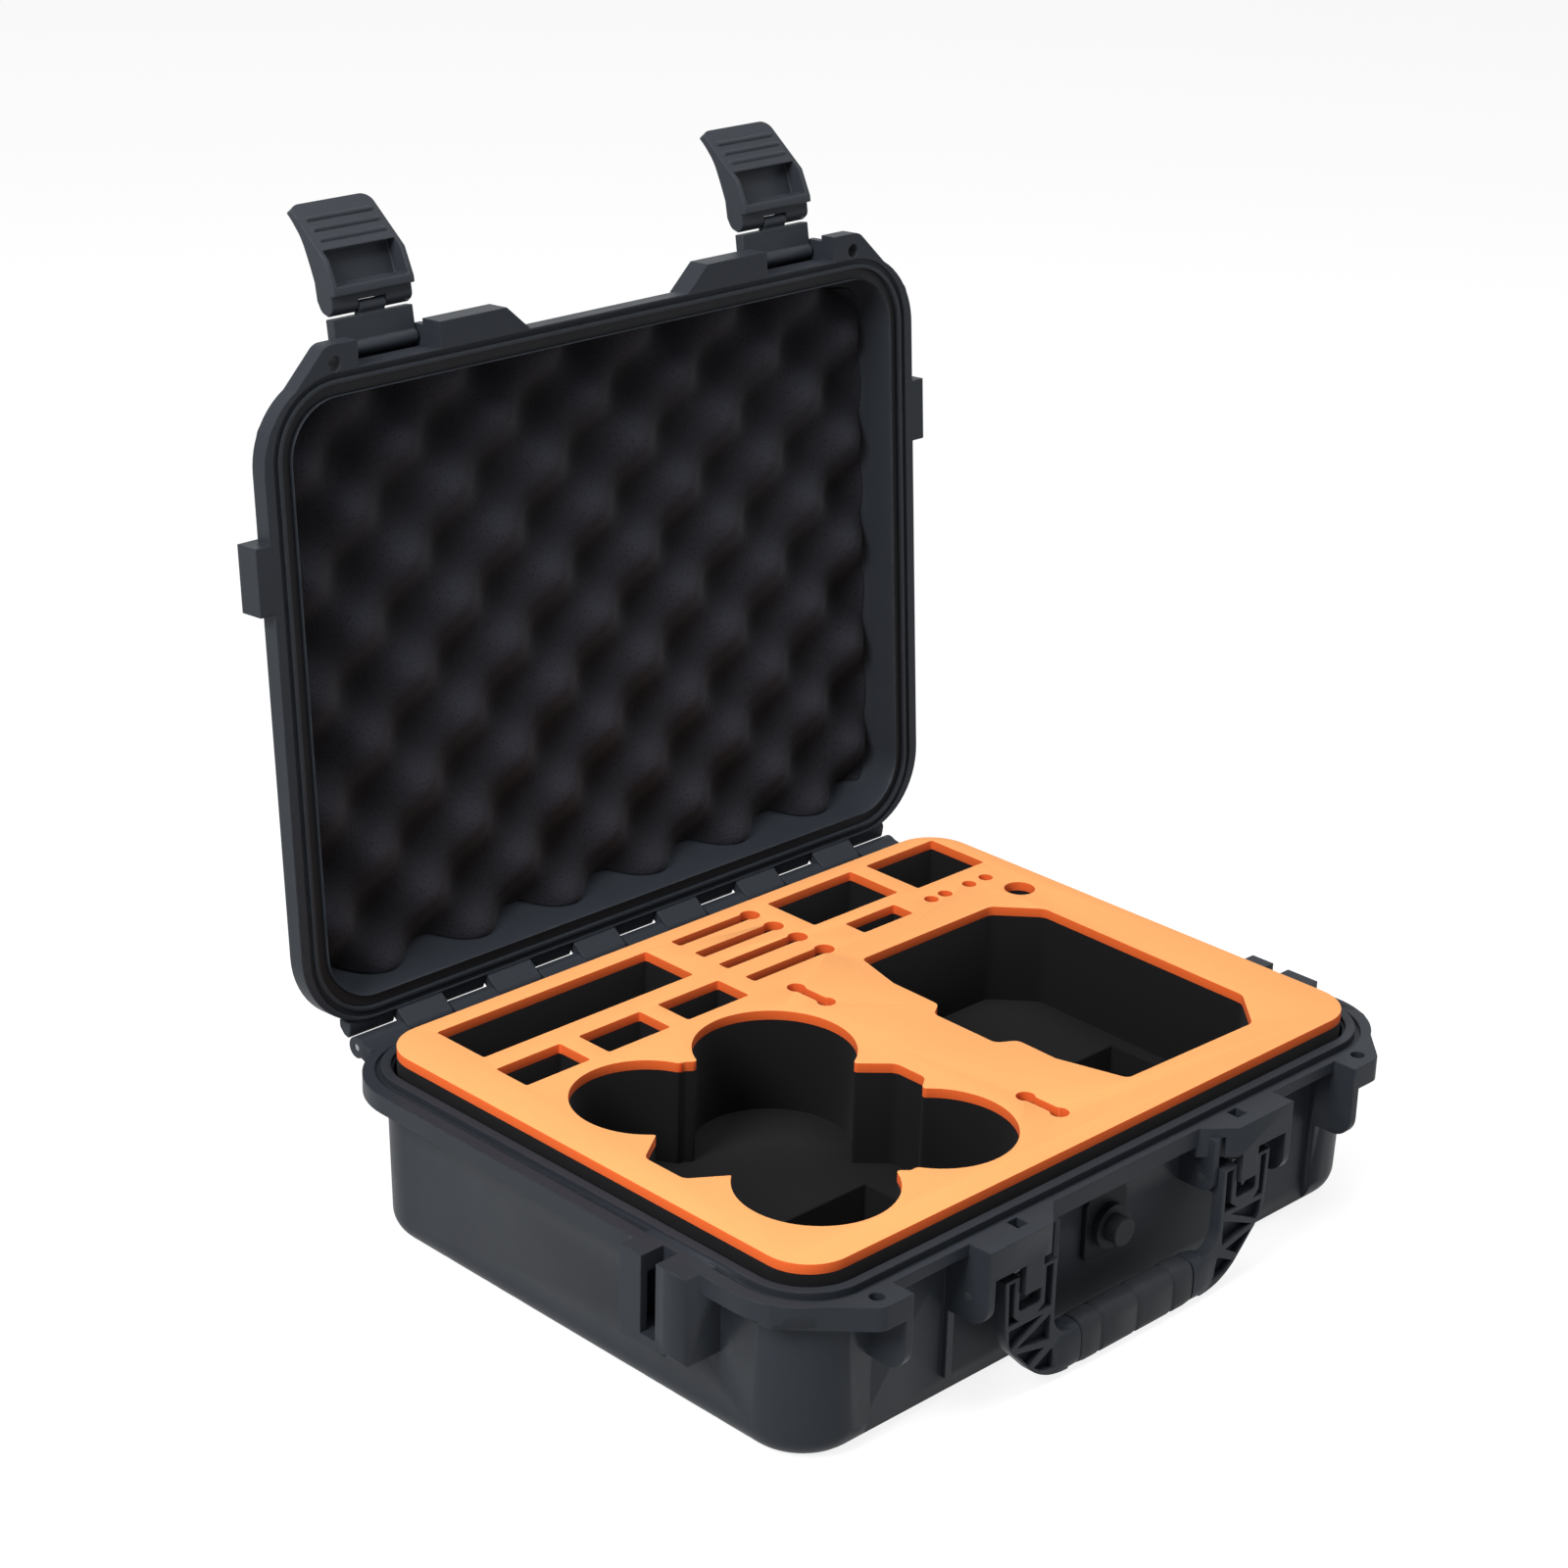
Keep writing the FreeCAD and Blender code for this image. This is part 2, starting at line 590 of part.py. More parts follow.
def latch_link():
    """The plate between the lid's pin and the lever."""
    x0 = LATCH_X - LATCH_W / 2
    x1 = LATCH_X + LATCH_W / 2
    plate = latch_prism([(0, -LINK_T / 2), (0, LINK_T / 2), (LINK_LEN, LINK_T / 2), (LINK_LEN, -LINK_T / 2)], x0, x1)
    top = latch_rod(0, 0, x0, x1, LATCH_EYE_R)
    third = LATCH_W / 3
    bottom = latch_rod(LINK_LEN, 0, x0 + third, x1 - third, LEVER_PIN_R + 1.3)
    gaps = []
    for left in (x0 - 1, x1 - third - LATCH_GAP / 2):
        gaps.append(latch_prism([(LINK_LEN - 3.2, -4), (LINK_LEN - 3.2, 4), (LINK_LEN + 4, 4), (LINK_LEN + 4, -4)],
                                left, left + third + 1 + LATCH_GAP / 2))
    link = fuse([plate, top]).cut(gaps)
    link = fuse([link, bottom])
    bores = [latch_rod(0, 0, x0 - 1, x1 + 1, LATCH_PIN_R + RUN_GAP),
             latch_rod(LINK_LEN, 0, x0 - 1, x1 + 1, LEVER_PIN_R)]
    return link.cut(bores)


def latch_lever():
    """The lever with its hook under the base's rim and a flared finger end."""
    x0 = LATCH_X - LATCH_W / 2
    x1 = LATCH_X + LATCH_W / 2
    hook_u = LATCH_Z - (BASE_H - CATCH_T - HOOK_GAP)
    inner = -LINK_T / 2
    outer = LEVER_T
    third = LATCH_W / 3
    plate = latch_prism([(hook_u, inner), (LINK_LEN - 1.5, inner), (LINK_LEN - 1.5, inner + 3.2), (hook_u + 10, outer + 2),
                         (LEVER_LEN, LEVER_FLARE + 1), (LEVER_LEN + 1, LEVER_FLARE - 1.5),
                         (hook_u + 14, inner + 2), (hook_u + 12, inner - 2), (hook_u, inner - 2)], x0, x1)
    eyes = [latch_rod(LINK_LEN, 0, x0, x0 + third - LATCH_GAP / 2, LEVER_PIN_R + 1.3),
            latch_rod(LINK_LEN, 0, x1 - third + LATCH_GAP / 2, x1, LEVER_PIN_R + 1.3)]
    hook = latch_prism([(hook_u, inner + 1), (hook_u, inner - HOOK_IN), (hook_u + HOOK_T, inner - HOOK_IN),
                        (hook_u + HOOK_T, inner + 1)], x0, x1)
    lever = fuse([plate, hook] + eyes)
    middle = latch_prism([(LINK_LEN - 4, -5), (LINK_LEN - 4, 5), (LINK_LEN + 3.2, 5), (LINK_LEN + 3.2, -5)],
                         x0 + third - LATCH_GAP / 2, x1 - third + LATCH_GAP / 2)
    window = latch_prism([(hook_u + HOOK_T, inner - 3), (hook_u + HOOK_T, outer - 1.6),
                          (hook_u + WINDOW_H - 2, outer + 1.0), (hook_u + WINDOW_H + 1, inner - 3)],
                         LATCH_X - WINDOW_X / 2, LATCH_X + WINDOW_X / 2)
    return lever.cut([middle, window, latch_rod(LINK_LEN, 0, x0 - 1, x1 + 1, LEVER_PIN_R + RUN_GAP)])


def latch_pin():
    y = -LATCH_Y
    return rod(Vector(BUMP_OUT - CHEEK_T + 0.3, y, LATCH_Z), Vector(EAR_IN + CHEEK_T - 0.3, y, LATCH_Z), LATCH_PIN_R)


def lever_pin():
    inset = 0.6
    return latch_rod(LINK_LEN, 0, LATCH_X - LATCH_W / 2 + inset, LATCH_X + LATCH_W / 2 - inset, LEVER_PIN_R)


def handle_arm():
    """One arm: a frame with its pivot lugs, stop pocket and bracing."""
    front = -HANDLE_Y - ARM_T / 2
    back = -HANDLE_Y + ARM_T / 2
    top = HANDLE_PIVOT_Z + 5.5
    outline = [(ARM_IN, top), (ARM_OUT, top), (ARM_OUT, 17), (ARM_OUT - 12, 3.5), (ARM_OUT - 20, 1.5),
               (GRIP_X + 1, 1.5), (GRIP_X + 1, GRIP_Z + GRIP_H / 2), (ARM_IN - 7, GRIP_Z + GRIP_H / 2),
               (ARM_IN, GRIP_Z + GRIP_H / 2 + 8)]
    arm = prism_y(outline, front, back)
    notch_in = TAB_IN - 1.2
    notch_out = TAB_OUT + 1.2
    notch = box(notch_in, notch_out, front - 1, back + 1, BASE_H - TAB_DROP - 8, top + 1)
    web_back = front + ARM_T - 3
    pockets = []
    pockets.append(prism_y([(ARM_IN + ARM_RIB, 36), (ARM_OUT - ARM_RIB, 36), (ARM_OUT - ARM_RIB, 29)], front - 1, web_back))
    pockets.append(prism_y([(ARM_IN + ARM_RIB, 33), (ARM_IN + ARM_RIB, 22), (ARM_OUT - ARM_RIB - 3, 27)],
                           front - 1, web_back))
    pockets.append(prism_y([(ARM_OUT - ARM_RIB, 25), (ARM_OUT - ARM_RIB, 18), (ARM_IN + 6, 18)], front - 1, web_back))
    return arm.cut([notch] + pockets)


def handle_frame():
    half_t = GRIP_CORE_T / 2
    core = box(-GRIP_X - 2, GRIP_X + 2, -HANDLE_Y - half_t, -HANDLE_Y + half_t, GRIP_Z - GRIP_CORE_H / 2,
               GRIP_Z + GRIP_CORE_H / 2)
    frame = fuse([core] + both_sides(handle_arm()))
    bores = both_sides(rod(Vector(ARM_IN - 1, -HANDLE_Y, HANDLE_PIVOT_Z),
                           Vector(ARM_OUT + 1, -HANDLE_Y, HANDLE_PIVOT_Z), HANDLE_PIN_R + RUN_GAP))
    return frame.cut(bores)


def handle_grip():
    """The soft sleeve moulded round the handle's core, with finger rings."""
    half_t = GRIP_T / 2
    half_h = GRIP_H / 2
    length = 2 * GRIP_X - 1.0
    section = rounded_block(half_h, half_t, GRIP_R, -length / 2, length / 2)
    section.rotate(Vector(0, 0, 0), Y_AXIS, 90)
    section.translate(Vector(0, -HANDLE_Y, GRIP_Z))
    gap = 0.1
    core = box(-GRIP_X - 3, GRIP_X + 3, -HANDLE_Y - GRIP_CORE_T / 2 - gap, -HANDLE_Y + GRIP_CORE_T / 2 + gap,
               GRIP_Z - GRIP_CORE_H / 2 - gap, GRIP_Z + GRIP_CORE_H / 2 + gap)
    return section.cut(core)


def handle_pivot_pin():
    return rod(Vector(BUMP_IN - 9 + 0.3, -HANDLE_Y, HANDLE_PIVOT_Z),
               Vector(BUMP_OUT - 0.3, -HANDLE_Y, HANDLE_PIVOT_Z), HANDLE_PIN_R)


def valve_body():
    y = -RECESS_Y
    half = VALVE_PLATE / 2
    plate = rounded_block(half * 0.8, half, 5.0, 0, VALVE_PLATE_T)
    plate.rotate(Vector(0, 0, 0), X_AXIS, 90)
    plate.translate(Vector(0, y - 0.05, VALVE_Z))
    ring = rod(Vector(0, y - VALVE_PLATE_T + 0.5, VALVE_Z), Vector(0, y - VALVE_PLATE_T - VALVE_RING_T, VALVE_Z),
               VALVE_RING_R)
    stem = rod(Vector(0, y - 1, VALVE_Z), Vector(0, y + WALL, VALVE_Z), VALVE_STEM_R)
    bore = rod(Vector(0, y - VALVE_PLATE_T - VALVE_RING_T - 1, VALVE_Z), Vector(0, y - VALVE_PLATE_T, VALVE_Z),
               KNOB_R - 2.0)
    vent = rod(Vector(0, y - VALVE_PLATE_T, VALVE_Z), Vector(0, y + WALL + 1, VALVE_Z), 1.5)
    return fuse([plate, ring, stem]).cut([bore, vent])


def valve_knob():
    y = -RECESS_Y - VALVE_PLATE_T - VALVE_RING_T
    head = rod(Vector(0, y - 0.3, VALVE_Z), Vector(0, y - KNOB_T, VALVE_Z), KNOB_R)
    stem = rod(Vector(0, y - 1, VALVE_Z), Vector(0, y + VALVE_RING_T - 1, VALVE_Z), KNOB_R - 2.1)
    return fuse([head, stem])


def write_nodes():
    nodes = {
        "base_shell": base_shell(),
        "foam_floor_layer": foam_floor_layer(),
        "foam_lower_layer": foam_lower_layer(),
        "foam_upper_layer": foam_upper_layer(),
        "foam_top_sheet": foam_top_sheet(),
        "hinge_pin": hinge_pin(),
        "valve_body": valve_body(),
        "valve_knob": valve_knob(),
        "handle_frame": handle_frame(),
        "handle_grip": handle_grip(),
        "lid_shell": opened(lid_shell()),
        "lid_seal": opened(lid_seal()),
        "lid_foam": opened(lid_foam()),
    }
    sided = {
        "handle_pivot_pin": handle_pivot_pin(),
        "latch_link": latch_opened(latch_link()),
        "latch_lever": latch_opened(latch_lever()),
        "latch_pin": opened(latch_pin()),
        "lever_pin": latch_opened(lever_pin()),
    }
    for name, solid in sided.items():
        nodes[name + "_right"] = solid
        nodes[name + "_left"] = mirrored(solid)
    os.makedirs("parts", exist_ok=True)
    for name, solid in nodes.items():
        print(name, len(solid.Solids), solid.isValid(), round(solid.Volume / 1000, 2), "cm3")
        solid.exportStep("parts/" + name + ".step")


write_nodes()
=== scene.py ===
"""Looks of the open carrying case: moulded shells, cut foam insert, lid pad, latches and handle."""

import math

import bmesh
import bpy
from mathutils import Matrix, Vector


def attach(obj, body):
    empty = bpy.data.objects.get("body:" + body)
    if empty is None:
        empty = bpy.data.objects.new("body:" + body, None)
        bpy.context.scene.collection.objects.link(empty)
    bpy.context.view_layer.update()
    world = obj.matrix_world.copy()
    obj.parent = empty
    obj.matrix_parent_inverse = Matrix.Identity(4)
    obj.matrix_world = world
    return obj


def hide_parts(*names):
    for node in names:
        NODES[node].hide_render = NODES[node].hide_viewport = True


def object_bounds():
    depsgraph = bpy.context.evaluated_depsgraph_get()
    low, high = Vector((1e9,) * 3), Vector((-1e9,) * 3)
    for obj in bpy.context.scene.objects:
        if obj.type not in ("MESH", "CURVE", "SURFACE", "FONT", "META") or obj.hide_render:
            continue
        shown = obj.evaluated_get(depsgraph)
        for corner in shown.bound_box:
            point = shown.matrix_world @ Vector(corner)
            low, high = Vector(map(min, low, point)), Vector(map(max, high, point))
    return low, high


bl_info = {
    "name": "Carrying Case",
    "version": (1, 0, 0),
    "blender": (4, 5, 0),
    "location": "View3D > Sidebar > Case",
    "description": "Builds the foam and the finishes of a hard carrying case",
    "category": "Object",
}

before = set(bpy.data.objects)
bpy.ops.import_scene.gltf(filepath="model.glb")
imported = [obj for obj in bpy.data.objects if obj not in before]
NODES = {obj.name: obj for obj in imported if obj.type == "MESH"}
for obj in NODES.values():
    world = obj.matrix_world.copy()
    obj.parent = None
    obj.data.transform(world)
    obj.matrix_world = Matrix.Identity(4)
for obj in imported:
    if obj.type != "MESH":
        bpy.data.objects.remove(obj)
CAD_BOX = [list(corner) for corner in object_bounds()]
MM = 0.001

# Where the lid's rim and hinge are when it is shut, in millimetres, as in the part
RIM_Z = 74.3
HINGE_Y = 145.4
HINGE_Z = 71.5
LID_OPEN = math.radians(-94.0)

# How near, in metres, vertices of a CAD mesh count as one, and how upright a well's corner is
SAME_PLACE = 2e-5
UPRIGHT_WITHIN = 5e-5

# The hinge's knuckles, counted from the middle one, with the reach of the lip in each gap
KNUCKLE_PITCH = 24.5
LIP_REACH = 11.9


def tone(red, green, blue):
    """A screen colour from 0 to 255 as linear values."""
    def linear(value):
        share = value / 255.0
        return share / 12.92 if share <= 0.04045 else ((share + 0.055) / 1.055) ** 2.4
    return (linear(red), linear(green), linear(blue), 1.0)


def colour_property(name, description, default):
    return bpy.props.FloatVectorProperty(name=name, description=description, default=default, size=4,
                                         min=0.0, max=1.0, subtype="COLOR")


def length_property(name, description, default):
    return bpy.props.FloatProperty(name=name, description=description, default=default, min=0.0,
                                   unit="LENGTH", subtype="DISTANCE")


class CaseFinish(bpy.types.PropertyGroup):
    shell: colour_property("Shell", "Moulded shells and handle frame", tone(47, 51, 57))
    latch: colour_property("Latch", "Latch plates and levers", tone(54, 58, 64))
    trim: colour_property("Trim", "Pressure valve", tone(34, 36, 39))
    grip: colour_property("Grip", "Soft sleeve of the handle", tone(44, 46, 50))
    seal: colour_property("Seal", "Gasket in the lid's groove", tone(28, 29, 32))
    steel: colour_property("Steel", "Pins of hinge, latches and handle", tone(150, 152, 156))
    layers: colour_property("Insert layers", "Black foam under the sheet", tone(20, 20, 22))
    pad: colour_property("Lid pad", "Egg-crate foam in the lid", tone(40, 41, 48))
    sheet: colour_property("Sheet", "Top of the coloured sheet", tone(255, 176, 108))
    # One orange sheet in two colours by facing: painted light on the top, painted shade on the sides.
    sheet_side_shade: colour_property("Sheet cut", "Cut sides of the coloured sheet", tone(246, 108, 48))


class CaseSizes(bpy.types.PropertyGroup):
    pad_pitch_x: length_property("Pad pitch across", "Distance between crests in a row", 51.0 * MM)
    pad_pitch_y: length_property("Pad row pitch", "Distance between rows of crests", 24.5 * MM)
    pad_step: length_property("Pad step", "Size of the pad's faces", 2.4 * MM)
    sheet_round: length_property("Sheet rounding", "Softness of the sheet's cut edges", 0.8 * MM)
    layer_round: length_property("Layer rounding", "Softness of the layers' edges", 0.7 * MM)
    edge_round: length_property("Moulded edges", "Radius that moulded edges show", 0.9 * MM)


# Node trees

def add(tree, kind, **settings):
    node = tree.nodes.new(kind)
    for name, value in settings.items():
        setattr(node, name, value)
    return node


def feed(tree, node, **values):
    """Sets or links inputs by name, with underscores for spaces."""
    for name, value in values.items():
        socket = node.inputs[name.replace("_", " ")]
        if isinstance(value, bpy.types.NodeSocket):
            tree.links.new(value, socket)
        else:
            socket.default_value = value
    return node


def math_node(tree, operation, first, second=0.0, clamp=False):
    node = add(tree, "ShaderNodeMath", operation=operation, use_clamp=clamp)
    for socket, value in zip(node.inputs, (first, second)):
        if isinstance(value, bpy.types.NodeSocket):
            tree.links.new(value, socket)
        else:
            socket.default_value = value
    return node.outputs[0]


def spread(tree, value, low, high, to_low=0.0, to_high=1.0):
    node = add(tree, "ShaderNodeMapRange", clamp=True)
    feed(tree, node, Value=value, From_Min=low, From_Max=high, To_Min=to_low, To_Max=to_high)
    return node.outputs["Result"]


def blend_colour(tree, factor, first, second):
    node = add(tree, "ShaderNodeMix", data_type="RGBA")
    for index, value in ((0, factor), (6, first), (7, second)):
        if isinstance(value, bpy.types.NodeSocket):
            tree.links.new(value, node.inputs[index])
        else:
            node.inputs[index].default_value = value
    return node.outputs[2]


def new_group(name, inputs, outputs):
    """An empty shader group with its sockets and the nodes at both ends."""
    group = bpy.data.node_groups.new(name, "ShaderNodeTree")
    kinds = {"vector": "NodeSocketVector", "value": "NodeSocketFloat", "colour": "NodeSocketColor"}
    for label, kind in inputs:
        group.interface.new_socket(name=label, in_out="INPUT", socket_type=kinds[kind])
    for label, kind in outputs:
        group.interface.new_socket(name=label, in_out="OUTPUT", socket_type=kinds[kind])
    return group, add(group, "NodeGroupInput"), add(group, "NodeGroupOutput")


def noise(tree, place, scale, detail=3.0, rough=0.5):
    node = add(tree, "ShaderNodeTexNoise")
    return feed(tree, node, Vector=place, Scale=scale, Detail=detail, Roughness=rough).outputs["Fac"]


def grain_group():
    """Fine moulded or cut grain as a height."""
    group, source, sink = new_group("fine_grain", [("Place", "vector"), ("Size", "value")],
                                    [("Height", "value")])
    scale = math_node(group, "DIVIDE", 1.0, source.outputs["Size"])
    fine = noise(group, source.outputs["Place"], scale, 2.0, 0.6)
    coarse = noise(group, source.outputs["Place"], math_node(group, "MULTIPLY", scale, 0.31), 1.0)
    height = math_node(group, "ADD", math_node(group, "MULTIPLY", fine, 0.7),
                       math_node(group, "MULTIPLY", coarse, 0.3))
    feed(group, sink, Height=height)
    return group


def tone_group():
    """A colour that drifts lighter and darker in soft patches."""
    inputs = [("Place", "vector"), ("Colour", "colour"), ("Amount", "value")]
    group, source, sink = new_group("tone_drift", inputs, [("Colour", "colour")])
    patch = noise(group, source.outputs["Place"], 14.0, 4.0, 0.55)
    speck = noise(group, source.outputs["Place"], 900.0, 2.0, 0.7)
    both = math_node(group, "ADD", math_node(group, "MULTIPLY", patch, 0.65),
                     math_node(group, "MULTIPLY", speck, 0.35))
    swing = math_node(group, "MULTIPLY", math_node(group, "SUBTRACT", both, 0.5), source.outputs["Amount"])
    value = math_node(group, "ADD", swing, 1.0)
    shade = add(group, "ShaderNodeHueSaturation")
    feed(group, shade, Value=value, Color=source.outputs["Colour"])
    feed(group, sink, Colour=shade.outputs["Color"])
    return group


def gloss_group():
    """A roughness that varies with handling marks."""
    inputs = [("Place", "vector"), ("Roughness", "value"), ("Spread", "value")]
    group, source, sink = new_group("handled_gloss", inputs, [("Roughness", "value")])
    smear = noise(group, source.outputs["Place"], 38.0, 5.0, 0.6)
    swing = math_node(group, "MULTIPLY", math_node(group, "SUBTRACT", smear, 0.5), source.outputs["Spread"])
    feed(group, sink, Roughness=math_node(group, "ADD", source.outputs["Roughness"], swing, clamp=True))
    return group


def painted_highlight_group():
    """A painted highlight on edges: where the rounded normal leaves the flat one, broken up by noise."""
    inputs = [("Place", "vector"), ("Flat", "vector"), ("Rounded", "vector"), ("Amount", "value")]
    group, source, sink = new_group("painted_edge_highlight", inputs, [("Mask", "value")])
    facing = add(group, "ShaderNodeVectorMath", operation="DOT_PRODUCT")
    group.links.new(source.outputs["Flat"], facing.inputs[0])
    group.links.new(source.outputs["Rounded"], facing.inputs[1])
    edge = spread(group, facing.outputs["Value"], 0.995, 0.86)
    broken = spread(group, noise(group, source.outputs["Place"], 160.0, 4.0, 0.65), 0.42, 0.66)
    feed(group, sink, Mask=math_node(group, "MULTIPLY", math_node(group, "MULTIPLY", edge, broken),
                                     source.outputs["Amount"], clamp=True))
    return group


def cells_group():
    """Open foam cells: a height, and a mask of the dark pits."""
    group, source, sink = new_group("foam_cells", [("Place", "vector"), ("Size", "value")],
                                    [("Height", "value"), ("Pits", "value")])
    scale = math_node(group, "DIVIDE", 1.0, source.outputs["Size"])
    cell = add(group, "ShaderNodeTexVoronoi", feature="F1")
    feed(group, cell, Vector=source.outputs["Place"], Scale=scale, Randomness=1.0)
    rough = noise(group, source.outputs["Place"], math_node(group, "MULTIPLY", scale, 0.6), 3.0, 0.65)
    height = math_node(group, "ADD", math_node(group, "MULTIPLY", cell.outputs["Distance"], 0.6),
                       math_node(group, "MULTIPLY", rough, 0.4))
    feed(group, sink, Height=height, Pits=spread(group, cell.outputs["Distance"], 0.34, 0.08))
    return group


GROUPS = {}


def shared(tree, name, **values):
    """Places a shared group in a material, building it on first use."""
    makers = {"grain": grain_group, "tone": tone_group, "gloss": gloss_group, "edge_highlight": painted_highlight_group,
              "cells": cells_group}
    if name not in GROUPS:
        GROUPS[name] = makers[name]()
    return feed(tree, add(tree, "ShaderNodeGroup", node_tree=GROUPS[name]), **values)


def start_material(name):
    """A material with its output, shader and the object's own coordinates."""
    material = bpy.data.materials.new(name)
    material.use_nodes = True
    tree = material.node_tree
    tree.nodes.clear()
    sink = add(tree, "ShaderNodeOutputMaterial")
    shader = add(tree, "ShaderNodeBsdfPrincipled")
    tree.links.new(shader.outputs["BSDF"], sink.inputs["Surface"])
    place = add(tree, "ShaderNodeTexCoord")
    mapping = add(tree, "ShaderNodeMapping")
    tree.links.new(place.outputs["Object"], mapping.inputs["Vector"])
    return material, tree, shader, mapping.outputs["Vector"]


def moulded(name, colour, roughness, grain, depth, edge_highlight, rounding, specular=0.1):
    """Moulded plastic or rubber: grain, handled gloss, tone drift and edges painted lighter as a highlight."""
    material, tree, shader, place = start_material(name)
    surface = add(tree, "ShaderNodeNewGeometry")
    rounded = feed(tree, add(tree, "ShaderNodeBevel", samples=4), Radius=rounding)
    highlight_mask = shared(tree, "edge_highlight", Place=place, Flat=surface.outputs["Normal"],
                  Rounded=rounded.outputs["Normal"], Amount=edge_highlight).outputs["Mask"]
    drift = shared(tree, "tone", Place=place, Colour=colour, Amount=0.34).outputs["Colour"]
    # Edges are painted lighter than the colour, as a painted highlight.
    highlit_colour = tuple(min(1.0, value * 1.7 + 0.02) for value in colour[:3]) + (1.0,)
    gloss = shared(tree, "gloss", Place=place, Roughness=roughness, Spread=0.22).outputs["Roughness"]
    height = shared(tree, "grain", Place=place, Size=grain).outputs["Height"]
    bump = feed(tree, add(tree, "ShaderNodeBump"), Strength=0.5, Distance=depth, Height=height,
                Normal=rounded.outputs["Normal"])
    feed(tree, shader, Base_Color=blend_colour(tree, highlight_mask, drift, highlit_colour), Roughness=gloss,
         Normal=bump.outputs["Normal"])
    shader.inputs["Specular IOR Level"].default_value = specular
    return material


def metal(name, colour):
    """Brushed steel of the pins."""
    material, tree, shader, place = start_material(name)
    drift = shared(tree, "tone", Place=place, Colour=colour, Amount=0.2).outputs["Colour"]
    gloss = shared(tree, "gloss", Place=place, Roughness=0.36, Spread=0.2).outputs["Roughness"]
    height = shared(tree, "grain", Place=place, Size=0.3 * MM).outputs["Height"]
    bump = feed(tree, add(tree, "ShaderNodeBump"), Strength=0.2, Distance=0.02 * MM, Height=height)
    feed(tree, shader, Base_Color=drift, Roughness=gloss, Normal=bump.outputs["Normal"])
    shader.inputs["Metallic"].default_value = 1.0
    return material


def foam(name, colour, cell, depth, pit_share, side_shade_colour=None, pit_value=0.62, painted_depth_shade=None):
    """Cut foam: open cells, soft tone drift, a darker colour on the sides than on the top as painted light and
    shade, and painted shade in the hollows with painted light on the crests, where given.
    """
    material, tree, shader, place = start_material(name)
    cells = shared(tree, "cells", Place=place, Size=cell)
    ground = colour
    # Upward faces take the sheet colour and the sides a darker one: painted light on the top, painted shade on
    # the sides.
    if side_shade_colour:
        facing = add(tree, "ShaderNodeSeparateXYZ")
        tree.links.new(add(tree, "ShaderNodeTexCoord").outputs["Normal"], facing.inputs["Vector"])
        ground = blend_colour(tree, spread(tree, facing.outputs["Z"], 0.35, 0.8), side_shade_colour, colour)
    drift = shared(tree, "tone", Place=place, Colour=ground, Amount=0.22).outputs["Colour"]
    darker = add(tree, "ShaderNodeHueSaturation")
    feed(tree, darker, Value=pit_value, Color=drift)
    # Painted shade in the pad's hollows and painted light on its crests, by depth along the lid.
    if painted_depth_shade:
        along, near, far = painted_depth_shade
        deep = add(tree, "ShaderNodeVectorMath", operation="DOT_PRODUCT")
        tree.links.new(place, deep.inputs[0])
        deep.inputs[1].default_value = along
        shade = feed(tree, add(tree, "ShaderNodeHueSaturation"), Color=drift,
                     Value=spread(tree, deep.outputs["Value"], near, far, 1.25, 0.3))
        drift = shade.outputs["Color"]
        tree.links.new(drift, darker.inputs["Color"])
    pits = math_node(tree, "MULTIPLY", cells.outputs["Pits"], pit_share)
    gloss = shared(tree, "gloss", Place=place, Roughness=0.88, Spread=0.12).outputs["Roughness"]
    bump = feed(tree, add(tree, "ShaderNodeBump"), Strength=0.6, Distance=depth,
                Height=cells.outputs["Height"])
    feed(tree, shader, Base_Color=blend_colour(tree, pits, drift, darker.outputs["Color"]),
         Roughness=gloss, Normal=bump.outputs["Normal"])
    shader.inputs["Specular IOR Level"].default_value = 0.12
    shader.inputs["Sheen Weight"].default_value = 0.03
    shader.inputs["Sheen Roughness"].default_value = 0.6
    return material


def dress(node, material):
    """Gives a CAD node its material through its object's own slots."""
    for slot in NODES[node].material_slots:
        slot.link = "OBJECT"
        slot.material = material


def new_piece(name, form, material, smooth=True):
    """Makes an object of a finished bmesh, at the origin."""
    mesh = bpy.data.meshes.new(name)
    form.to_mesh(mesh)
    form.free()
    mesh.materials.append(material)
    for face in mesh.polygons:
        face.use_smooth = smooth
    if smooth:
        mesh.set_sharp_from_angle(angle=math.radians(38))
    piece = bpy.data.objects.new(name, mesh)
    bpy.context.scene.collection.objects.link(piece)
    return piece


def profile(form, points, axis, at, rounds=()):
    """A flat outline across X or Y, its named corners rounded by the bevel operator."""
    corners = []
    for first, second in points:
        place = (at, first, second) if axis == "X" else (first, at, second)
        corners.append(form.verts.new(place))
    form.faces.new(corners)
    for index, size in rounds:
        bmesh.ops.bevel(form, geom=[corners[index]], offset=size, offset_type="OFFSET", segments=8,
                        profile=0.5, affect="VERTICES", material=-1)


def prism(points, axis, low, high, rounds=()):
    """A closed block drawn along X or Y from an outline."""
    form = bmesh.new()
    profile(form, points, axis, low, rounds)
    grown = bmesh.ops.extrude_face_region(form, geom=list(form.faces))["geom"]
    shift = (high - low, 0, 0) if axis == "X" else (0, high - low, 0)
    bmesh.ops.translate(form, vec=shift, verts=[item for item in grown if isinstance(item, bmesh.types.BMVert)])
    bmesh.ops.recalc_face_normals(form, faces=form.faces)
    return form


